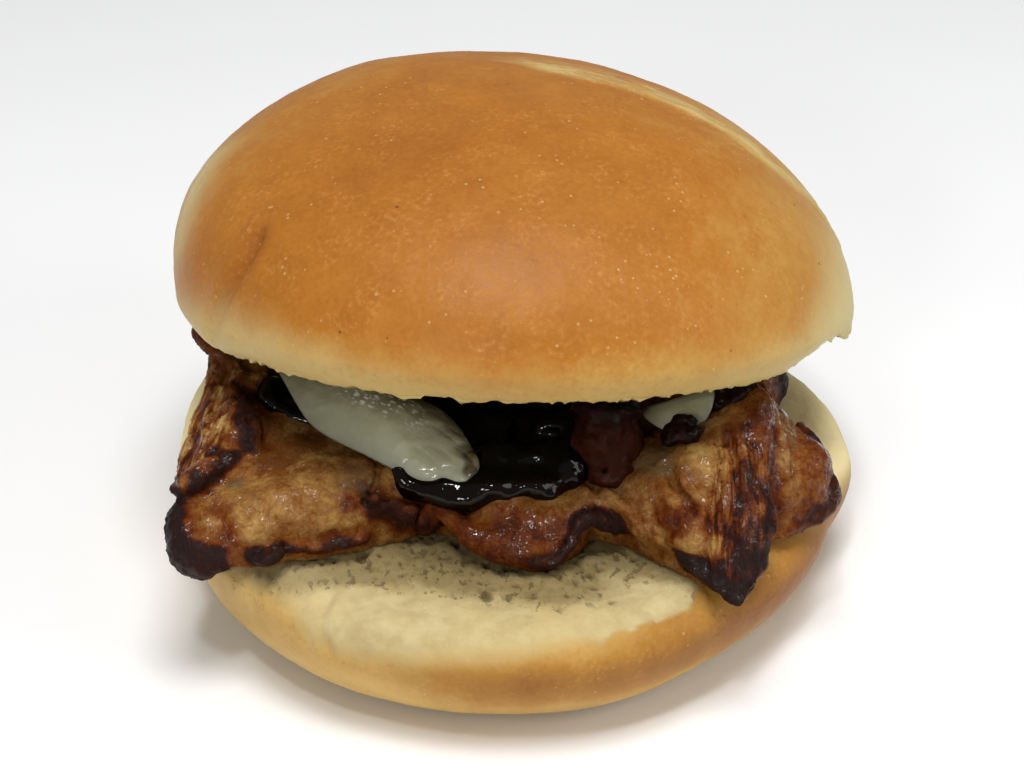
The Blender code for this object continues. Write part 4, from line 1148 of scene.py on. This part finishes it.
def meat_material(name):
    """Grilled chicken under a thin teriyaki glaze: one scale of doneness with painted shade in hollows, amber places
    that are partly painted shade, and grey places over it.
    """
    m = Mat(name, Specular_IOR_Level=0.08, Coat_Roughness=0.06, Coat_IOR=1.38, Subsurface_Weight=0.08, Subsurface_Scale=0.003)
    m.bsdf.inputs["Subsurface Radius"].default_value = (1.0, 0.4, 0.18)
    done, amber_and_shade, grey, wet = (m.attr(k) for k in ("done", "amber_and_shade", "grey", "wet"))
    mid = m.noise(4.5, 4, 0.6, distort=0.6)
    small = m.noise(1.3, 4, 0.65)
    fine = m.noise(0.5, 3, 0.6)
    corner, flap = m.attr("corner"), m.attr("flap")
    stringy = m.math("MAXIMUM", corner, flap)
    strand = m.mixf(m.ramp(flap, 0.2, 0.5), m.noise(0.62, 3, 0.55, vec=m.grain((-53, 2, 0), 9.0)), m.noise(0.58, 3, 0.55, vec=m.grain((-62, 28, 0), 8.0)))
    ridged = m.math("ABSOLUTE", m.math("SUBTRACT", m.noise(2.4, 2, 0.5, distort=0.8), 0.5))
    v = m.math("ADD", done, m.math("MULTIPLY", m.math("SUBTRACT", small, 0.5), m.mixf(stringy, 0.46, 0.16)))
    v = m.math("ADD", v, m.math("MULTIPLY", m.math("SUBTRACT", fine, 0.5), 0.24))
    v = m.math("ADD", v, m.math("MULTIPLY", m.ramp(strand, 0.36, 0.64, -0.17, 0.17, kind="LINEAR"), stringy))
    v = m.math("ADD", v, m.ramp(ridged, 0.0, 0.035, 0.07, 0.0))
    ramp = m.node("ShaderNodeValToRGB")
    m.link(v, ramp.inputs[0])
    bar = ramp.color_ramp
    bar.elements[0].position, bar.elements[0].color = DONE[0][0], lin(DONE[0][1])
    bar.elements[1].position, bar.elements[1].color = DONE[-1][0], lin(DONE[-1][1])
    for at, rgb in DONE[1:-1]:
        e = bar.elements.new(at)
        e.color = lin(rgb)
    c = ramp.outputs["Color"]

    def edge(mask):
        return m.math("MULTIPLY", m.ramp(m.math("ADD", mask, m.math("MULTIPLY", m.math("SUBTRACT", small, 0.5), 0.9)), 0.2, 0.9), m.ramp(mask, 0.0, 0.3))

    c = m.mix(m.math("MULTIPLY", edge(grey), 0.7), c, m.mix(m.ramp(mid, 0.35, 0.65), lin(MEAT_GREY), lin(MEAT_OLIVE)))
    c = m.mix(m.math("MULTIPLY", edge(amber_and_shade), 0.88), c, m.mix(m.ramp(mid, 0.35, 0.65), lin(AMBER_DARK), lin(AMBER_LIT)))
    c = m.mix(m.ramp(fine, 0.60, 0.8, 0.0, 0.3), c, lin(AMBER_DARK))
    shiny = m.math("MULTIPLY", m.ramp(m.noise(2.2, 3, 0.6), 0.46, 0.58, 0.02, 1.0), wet)
    n = m.bump(small, 0.55, 0.35)
    n = m.bump(fine, 0.5, 0.15, n)
    n = m.bump(strand, m.math("MULTIPLY", stringy, 0.9), 0.5, n)
    n = m.bump(m.ramp(ridged, 0.0, 0.05), 0.35, 0.3, n)
    film = m.bump(m.noise(1.5, 1.5, 0.5), 1.0, 0.75)
    film = m.bump(m.ramp(ridged, 0.0, 0.06, 1.0, 0.0), 0.5, 0.25, film)
    film = m.bump(strand, m.math("MULTIPLY", stringy, 0.7), 0.4, film)
    return m.set(Base_Color=c, Roughness=m.ramp(small, 0.3, 0.7, 0.40, 0.62), Coat_Weight=shiny, Normal=n, Coat_Normal=film)


MEAT_GREY = (96, 80, 58)
MEAT_OLIVE = (112, 86, 48)
AMBER_DARK = (88, 45, 9)
AMBER_LIT = (110, 58, 12)


# ------------------------------------------------------------------ sauce
POOL = [(-37.0, -4.4), (-38.6, -8.2), (-36.8, -12.0), (-33.4, -14.4), (-29.4, -15.4), (-25.0, -18.0), (-21.4, -21.2), (-18.6, -25.0),
        (-17.2, -27.2), (-13.8, -28.6), (-9.2, -29.8), (-4.7, -31.0), (-1.2, -30.8), (0.9, -29.4), (3.2, -29.9), (5.0, -29.8), (7.2, -28.8), (10.0, -27.6),
        (11.6, -24.6), (11.0, -19.6), (10.4, -15.0), (9.6, -8.8), (8, 2), (0, 6), (-14, 6), (-27, 2), (-35, 0)]


def inside_pool(x, y, pts):
    """Signed distance in plan to a closed outline, negative inside."""
    pts = np.array(pts, float)
    best = np.full(x.shape, 1e9)
    inside = np.zeros(x.shape, bool)
    for a, b in zip(pts, np.roll(pts, -1, 0)):
        d = b - a
        t = np.clip(((x - a[0]) * d[0] + (y - a[1]) * d[1]) / (d @ d), 0, 1)
        best = np.minimum(best, np.hypot(x - a[0] - t * d[0], y - a[1] - t * d[1]))
        cross = ((a[1] > y) != (b[1] > y)) & (x < (b[0] - a[0]) * (y - a[1]) / (b[1] - a[1] + 1e-12) + a[0])
        inside ^= cross
    return np.where(inside, -best, best)


def smax(a, b, k):
    t = np.clip(0.5 + 0.5 * (a - b) / k, 0, 1)
    return b + (a - b) * t + k * t * (1 - t)


def sauce_field(g):
    """The pool: an even coat over the softened meat, thicker along its lower rim, with lumps."""
    s = Field((-44, -36, 21.5), (16, 10, 42.5), 0.5, seed=55, bend=0.5, size=3.5)
    base = s.spread(g.sample(s.p[::2, ::2, ::2], g.soften(5)))
    x, y = s.q[:, :, 10, 0], s.q[:, :, 10, 1]
    plan = inside_pool(x, y, POOL) + 0.3 * vnoise(np.stack([x, y, 0 * x], -1), 3.0, 301)
    floor = 25.0 + 0.8 * step(x, -2, 3) + 0.9 * step(-x, 12, 18)
    region = smax(plan[..., None] + 0 * base, floor[..., None] - s.q[..., 2], 1.6)
    rich = step(x, -15, -5)
    thick = 0.9 + (0.15 + 0.65 * rich) * np.exp(-((plan + 2.6) / 2.0) ** 2)
    thick = thick + (0.2 + 0.6 * rich) * vnoise(np.stack([x, y, 0 * x], -1), 3.6, 303) * step(-plan, 1.0, 4.0)
    s.f = smax(base - thick[..., None], region, 1.9)
    for at, r in (((-7.6, -28.4, 28.0), (5.0, 2.0, 2.2)), ((-2.6, -29.0, 29.2), (3.2, 2.2, 2.0)), ((3.6, -28.4, 29.4), (3.0, 2.2, 2.0)),
                  ((8.8, -25.4, 30.4), (2.4, 2.6, 2.2)), ((9.2, -20.8, 32.0), (2.2, 3.0, 2.2)), ((5.4, -23.6, 31.4), (3.2, 2.6, 1.8)),
                  ((-1.0, -24.0, 31.6), (3.8, 2.4, 1.8)), ((6.4, -16.6, 33.0), (3.2, 2.6, 2.0)), ((-37.6, -8.2, 33.4), (2.0, 3.4, 1.3))):
        s.blob(at, r, 1.6)
    s.tube([(-16.4, -26.4, 29.6), (-12.8, -27.9, 28.2), (-8.6, -29.2, 27.4), (-4.2, -30.0, 27.8), (-0.6, -29.6, 28.6)], (0.8, 1.0, 1.3, 1.3, 0.8), 1.0)
    s.tube([(1.2, -10.5, 33.6), (0.4, -16.5, 33.6), (-1.6, -21.6, 32.8)], 0.55, 0.8)
    s.tube([(9.4, -10.8, 33.4), (8.0, -17.6, 34.0), (8.9, -22.6, 32.6)], 0.6, 0.7)
    s.f = smax(s.f, -(base + 1.0), 0.3)
    under = crown_under(s.p[..., 0], s.p[..., 1]) - 0.35
    s.f = smax(s.f, s.p[..., 2] - under, 0.6)
    return s


def sauce_piece(s, mat):
    verts, quads = s.net(relax=5)
    n = net_normals(verts, quads)
    p = verts
    right = step(p[:, 0], -8, 2)
    d = 0.30 * vnoise(p, 3.1, 311) + 0.10 * vnoise(p, 1.5, 312) + right * (0.34 * vnoise(p, 1.9, 313) + 0.10 * vnoise(p, 0.9, 314))
    thin = 1 - step(-inside_pool(p[:, 0], p[:, 1], POOL), 0.2, 1.6)
    return make("teriyaki_sauce_pool", p + n * d[:, None], [quads], mat, dict(thin=thin))


def sauce_material(name):
    m = Mat(name, Roughness=0.05, Specular_IOR_Level=0.22)
    thin = m.attr("thin")
    c = m.mix(m.ramp(m.noise(5, 3, 0.6), 0.35, 0.7), lin((4, 4, 4)), lin((9, 6, 4)))
    c = m.mix(m.math("MULTIPLY", thin, 0.8), c, lin((18, 8, 4)))
    n = m.bump(m.noise(3.0, 2, 0.4), 0.35, 0.6)
    n = m.bump(m.noise(1.1, 2, 0.5), 0.30, 0.22, n)
    return m.set(Base_Color=c, Normal=n)


# ------------------------------------------------------------------ toppings
def petal(name, mat, at, heading, half, thick, arch, bed, wavy=1.0, taper=0.0, point=0.0, seed=0, nose=0.0):
    """A curved slice: thick in the middle, thin and a little wavy along its edge."""
    n, rings = 220, 46
    th = np.linspace(0, 2 * math.pi, n, endpoint=False)
    c, s = np.cos(th), np.sin(th)
    h = math.radians(heading)
    rows, face = [], []
    for lat in np.concatenate([np.linspace(1, 0.05, rings) ** 0.9, -np.linspace(0.05, 1, rings) ** 0.9]):
        a = lat * math.pi / 2
        r = abs(math.cos(a)) ** (2 / 2.2) if abs(lat) < 1 else 0.0
        hh = math.copysign(abs(math.sin(a)) ** (2 / 2.2), lat)
        u, v = r * c, r * s
        v = v * (1 - taper * u - point * u * u)
        v = v * (1 - 1.5 * nose * np.clip(u, 0, 1) ** 3 * step(v, -0.2, 0.35))
        lu, lv = half[0] * u, half[1] * v
        pp = np.stack([lu, lv, 0 * lu], -1)
        lv = lv + wavy * 0.40 * vnoise(pp, 9, seed + 1) * r
        lu = lu + wavy * 0.3 * vnoise(pp, 2.6, seed + 2) * r * np.clip(np.abs(c), 0, 1) ** 3 * (0.5 + nose)
        x = at[0] + lu * math.cos(h) - lv * math.sin(h)
        y = at[1] + lu * math.sin(h) + lv * math.cos(h)
        z = bed(x, y) + arch * (1 - np.minimum(v * v, 1)) + 0.5 * thick * (1 + hh * (1 - 0.45 * v * v))
        z = z + 0.10 * vnoise(np.stack([lu * 0.12, lv, 0 * lu], -1), 0.9, seed + 3) * max(hh, 0)
        z = np.minimum(z, crown_under(x, y) - 0.3 - 0.25 * (1 - hh) * thick)
        rows.append(np.stack([x, y, z], -1))
        face.append(np.stack([u, v], -1))
    rows, face = np.array(rows), np.array(face)
    verts, faces = lathe(rows)
    uu, vv = per_vertex(face[..., 0]), per_vertex(face[..., 1])
    tip = step(uu + 0.12 * vnoise(verts, 1.6, seed + 5) + 0.16 * vv, 0.80, 0.97) * (1 if nose else 0)
    # painted light and shade: low runs lighter to the lower edge and darker on the side under the crown; the small
    # slice takes one fixed lighter value
    low = step(-vv + 0.45 * uu, -0.35, 1.05) if nose else 0.75 + 0 * uu
    # where the bead bumps and the painted sparkles sit
    glint_beads = np.exp(-((uu - 0.02) / 0.46) ** 2 - ((vv + 0.02) / 0.44) ** 2) * (1 if nose else 0)
    ob = make(name, verts, faces, mat, dict(tip=tip, low=low, glint_beads=glint_beads, along=uu))
    return ob


def onion_bed(x, y):
    """Rests on the sauce and meat: the highest skin close by, smoothed."""
    total = 0.0
    for i in (-5, -2.5, 0, 2.5, 5):
        for j in (-5, -2.5, 0, 2.5, 5):
            total = total + fillet_skin(x + i, y + j)
    near_pool = 1 - step(inside_pool(x, y, POOL), -3.0, 3.0)
    return total / 25 + 1.7 * near_pool + 0.3


def onion_material(name):
    m = Mat(name, Specular_IOR_Level=0.3, Coat_Weight=0.45, Coat_Roughness=0.08, Subsurface_Weight=0.6, Subsurface_Scale=0.006, Roughness=0.35)
    m.bsdf.inputs["Subsurface Radius"].default_value = (1.0, 0.9, 0.6)
    tip, low = m.attr("tip"), m.attr("low")
    # painted shade towards the crown, painted light towards the lower edge
    c = m.mix(low, lin(ONION_PAINTED_SHADE), lin(ONION_PAINTED_LIT))
    c = m.mix(m.ramp(m.noise(5, 3, 0.6), 0.35, 0.7, 0.0, 0.3), c, lin(ONION_GREEN))
    lengthways = m.ramp(m.noise(1.6, 3, 0.6, vec=m.stretch(0.35, 0.9, 1.0, (0, 0, math.radians(35)))), 0.35, 0.65, 0.0, 0.35)
    c = m.mix(lengthways, c, lin(ONION_VEIN))
    c = m.mix(m.math("MULTIPLY", tip, 0.95), c, m.mix(m.ramp(m.noise(1.2, 4, 0.7), 0.42, 0.58), lin((92, 76, 38)), lin((22, 14, 8))))
    c = m.mix(m.ramp(m.attr("along"), -0.20, -0.90, 0.0, 0.55), c, lin(ONION_STAIN))
    glint_beads = m.attr("glint_beads")
    grains = m.noise(0.75, 2, 0.5, vec=m.stretch(0.8, 0.5, 0.8, (0, 0, math.radians(35))))
    dots = m.ramp(m.voronoi(0.50, vec=m.grain((0, 90, -38), 2.6)), 0.50, 0.28)
    # painted highlight: tiny white sparkles mixed into the base colour over the bead bumps
    painted_sparkle = m.math("MULTIPLY", m.math("MULTIPLY", dots, m.ramp(m.noise(2.0, 3, 0.7), 0.40, 0.54)), m.ramp(glint_beads, 0.20, 0.62))
    c = m.mix(m.math("MULTIPLY", painted_sparkle, 0.9), c, lin((232, 234, 220)))
    n = m.bump(grains, m.math("MULTIPLY", glint_beads, 0.35), 0.4)
    n = m.bump(m.noise(3, 3, 0.5), 0.2, 0.4, n)
    return m.set(Base_Color=c, Normal=n, Coat_Normal=n)


ONION_VEIN = (196, 194, 166)
ONION_STAIN = (96, 80, 50)
# lit and shaded copies of the onion colour, painted
ONION_PAINTED_LIT = (190, 188, 150)
ONION_PAINTED_SHADE = (64, 58, 38)
ONION_GREEN = (146, 146, 112)


def chunk_piece(mat):
    g = Field((6, -31, 27.5), (23, -9, 43.5), 0.4, seed=71, bend=0.5, size=3.0)
    g.blob((14.2, -17.6, 35.8), (4.6, 5.8, 5.0), 1)
    g.blob((13.6, -24.4, 34.0), (4.0, 3.2, 4.6), 0.6)
    g.blob((16.4, -22.8, 33.2), (2.8, 3.4, 4.0), 0.6)
    g.blob((14.5, -26.6, 30.4), (3.4, 2.2, 3.0), 0.5)
    g.blob((10.8, -21.6, 33.4), (2.2, 3.4, 3.4), 0.6)
    g.tube([(10.0, -20.6, 38.0), (12.4, -23.6, 38.6), (15.4, -23.8, 38.4), (18.2, -21.4, 37.6)], (1.0, 1.5, 1.4, 1.0), 0.5)
    g.tube([(9.6, -24.2, 36.6), (12.6, -27.2, 37.0), (15.8, -27.0, 36.6), (18.4, -24.4, 36.0)], 0.5, 0.5, cut=True)
    g.tube([(12.6, -28.4, 35.4), (13.2, -28.2, 32.4), (14.4, -27.4, 30.4)], 0.4, 0.5, cut=True)
    g.tube([(16.6, -27.4, 36.0), (17.4, -26.6, 33.0), (17.0, -26.4, 30.6)], 0.45, 0.5, cut=True)
    g.tube([(9.4, -25.4, 34.6), (10.4, -26.6, 32.4), (11.6, -26.6, 30.4)], 0.4, 0.5, cut=True)
    under = crown_under(g.p[..., 0], g.p[..., 1]) - 0.35
    g.f = smax(g.f, g.p[..., 2] - under, 0.6)
    verts, quads = g.net(relax=2)
    n = net_normals(verts, quads)
    f1, _ = cells(verts, 1.6, 321)
    grain = strands(verts, (0.2, -0.7, -0.7), 1.0, 325)
    d = 0.25 * fbm(verts, 3.0, 3, 323) + 0.30 * (0.5 - f1) + 0.16 * grain
    low = step(-verts[:, 2] - 0.25 * verts[:, 1], -33.5, -29.0)
    return make("sauced_chicken_lump", verts + n * d[:, None], [quads], mat,
                dict(low=low, cavity_shade=np.clip(0.5 - 1.8 * d, 0, 1)))


def lump_material(name):
    m = Mat(name, Specular_IOR_Level=0.06, Coat_Roughness=0.08, Coat_IOR=1.36)
    small = m.noise(1.2, 4, 0.6)
    c = m.mix(m.ramp(small, 0.3, 0.7), lin((40, 15, 8)), lin((24, 9, 4)))
    c = m.mix(m.math("MULTIPLY", m.attr("low"), m.ramp(m.noise(3, 3, 0.6), 0.3, 0.7, 0.5, 1.0)), c, lin((66, 26, 11)))
    # painted shade in the hollows
    c = m.mix(m.math("MULTIPLY", m.attr("cavity_shade"), 0.5), c, lin((14, 5, 3)))
    n = m.bump(small, 0.6, 0.4)
    shiny = m.ramp(m.noise(2.4, 3, 0.6), 0.48, 0.64, 0.01, 0.5)
    return m.set(Base_Color=c, Roughness=m.ramp(small, 0.3, 0.7, 0.4, 0.6), Coat_Weight=shiny, Normal=n, Coat_Normal=n)


def scrap_piece(name, mat, tubes, seed):
    pts = np.concatenate([np.array(t[0]) for t in tubes])
    g = Field(pts.min(0) - 4, pts.max(0) + 4, 0.3, seed=seed, bend=0.5, size=2.2)
    for t, r in tubes:
        g.tube(t, r, 0.5)
    under = crown_under(g.p[..., 0], g.p[..., 1]) - 0.3
    g.f = smax(g.f, g.p[..., 2] - under, 0.5)
    verts, quads = g.net(relax=1)
    n = net_normals(verts, quads)
    f1, _ = cells(verts, 1.1, seed + 3)
    d = 0.5 * (0.5 - f1) + 0.35 * vnoise(verts, 1.6, seed + 4) + 0.12 * vnoise(verts, 0.7, seed + 5)
    return make(name, verts + n * d[:, None], [quads], mat, dict(cavity_shade=np.clip(0.5 - 1.8 * d, 0, 1)))


def scrap_material(name):
    m = Mat(name, Specular_IOR_Level=0.06, Coat_Weight=0.2, Coat_Roughness=0.1, Coat_IOR=1.36)
    small = m.noise(0.9, 4, 0.6)
    c = m.mix(m.ramp(small, 0.35, 0.7), lin((20, 8, 5)), lin((44, 20, 12)))
    # painted shade in the hollows
    c = m.mix(m.math("MULTIPLY", m.attr("cavity_shade"), 0.5), c, lin((14, 7, 5)))
    return m.set(Base_Color=c, Roughness=m.ramp(small, 0.3, 0.7, 0.3, 0.55), Normal=m.bump(small, 0.5, 0.3))


# ------------------------------------------------------------------ stage
def stage():
    m = Mat("studio_floor", Roughness=0.9, Specular_IOR_Level=0.1)
    m.set(Base_Color=m.mix(m.noise(60, 2), lin((250, 250, 250)), lin((247, 247, 247))))
    bpy.ops.mesh.primitive_plane_add(size=6.0, location=(0, 0, 0))
    floor = bpy.context.object
    floor.name = "studio_floor"
    floor.data.materials.append(m.mat)

    world = bpy.data.worlds.new("studio")
    bpy.context.scene.world = world
    world.use_nodes = True
    bg = world.node_tree.nodes["Background"]
    bg.inputs["Color"].default_value = (0.97, 0.985, 1.0, 1.0)
    bg.inputs["Strength"].default_value = 0.24

    def soft(name, loc, target, size, power, colour=(1, 1, 1)):
        light = bpy.data.lights.new(name, "AREA")
        light.shape = "RECTANGLE"
        light.size, light.size_y = size
        light.energy = power
        light.color = colour
        obj = bpy.data.objects.new(name, light)
        bpy.context.scene.collection.objects.link(obj)
        obj.location = loc
        d = np.array(target) - np.array(loc)
        obj.rotation_euler = (math.atan2(math.hypot(d[0], d[1]), -d[2]) * 1.0, 0, math.atan2(d[1], d[0]) - math.pi / 2)
        return obj

    soft("overhead", (0.05, -0.16, 0.95), (0, 0, 0.03), (0.42, 0.36), 6.0)
    soft("key", (-0.12, -0.42, 0.95), (0, 0, 0.03), (0.09, 0.09), 1.6)
    soft("front", (-0.30, -0.85, 0.42), (0, 0, 0.03), (0.14, 0.12), 1.6)
    soft("right_window", (0.70, -0.25, 0.45), (0, 0, 0.04), (0.25, 0.40), 1.1)

    cam = bpy.data.cameras.new("camera")
    cam.lens = 70.0
    cam.sensor_width = 36.0
    obj = bpy.data.objects.new("camera", cam)
    obj.location = (0.0, -0.272467, 0.187573)
    obj.rotation_euler = (math.radians(60), 0, 0)
    bpy.context.scene.collection.objects.link(obj)
    bpy.context.scene.camera = obj
    bpy.context.scene.view_settings.view_transform = "Standard"


# ------------------------------------------------------------------ build
def add(piece, node=None):
    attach(piece, "root")
    if node:
        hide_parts(*([node] if isinstance(node, str) else node))
    return piece


crust = crust_material("bun_crust_look", CRUST_LIGHT, CRUST_GOLD, CRUST_BROWN, CRUST_PALE_AND_GLARE)
heel_look = crust_material("bun_heel_look", (208, 172, 100), (176, 125, 52), (140, 84, 28), (208, 184, 120))
add(crown_piece(crust), "bun_top")
add(heel_piece(heel_look), "bun_bottom")
meat = meat_material("grilled_chicken_look")
meat_field = fillet_field()
add(fillet_piece(meat_field, meat), "chicken")
add(sauce_piece(sauce_field(meat_field), sauce_material("teriyaki_sauce_look")), "sauce")
onion = onion_material("cooked_onion_look")
add(petal("onion_petal_large", onion, (-20.7, -16.1), -38, (20.2, 7.1), 2.8, 3.0, onion_bed, taper=0.04, point=0.30, seed=400, nose=0.3), "onion_large")
add(petal("onion_petal_small", onion, (24.6, -18.2), 4, (5.4, 4.5), 2.0, 3.2, onion_bed, seed=420, taper=-0.25), "onion_small")
add(chunk_piece(lump_material("sauced_meat_look")), "chicken_chunk")
scrap = scrap_material("char_look")
add(scrap_piece("charred_scrap_front", scrap, [([(23.0, -24.8, 35.2), (24.0, -25.8, 36.0), (25.4, -26.0, 36.2), (26.6, -25.4, 36.6)], (1.1, 1.8, 1.7, 0.9)),
                                               ([(22.6, -24.0, 35.8), (24.4, -23.6, 37.0), (26.6, -23.8, 37.4)], (0.8, 1.1, 0.8))], 431), "charred_bit_1")
add(scrap_piece("charred_scrap_back", scrap, [([(30.6, -19.2, 37.6), (32.8, -18.6, 38.2), (35.4, -17.4, 38.6)], (1.4, 1.8, 1.2)),
                                              ([(31.2, -17.8, 38.8), (34.2, -16.4, 39.8), (36.4, -15.4, 39.8)], (1.3, 1.5, 0.9))], 441), "charred_bit_2")

stage()
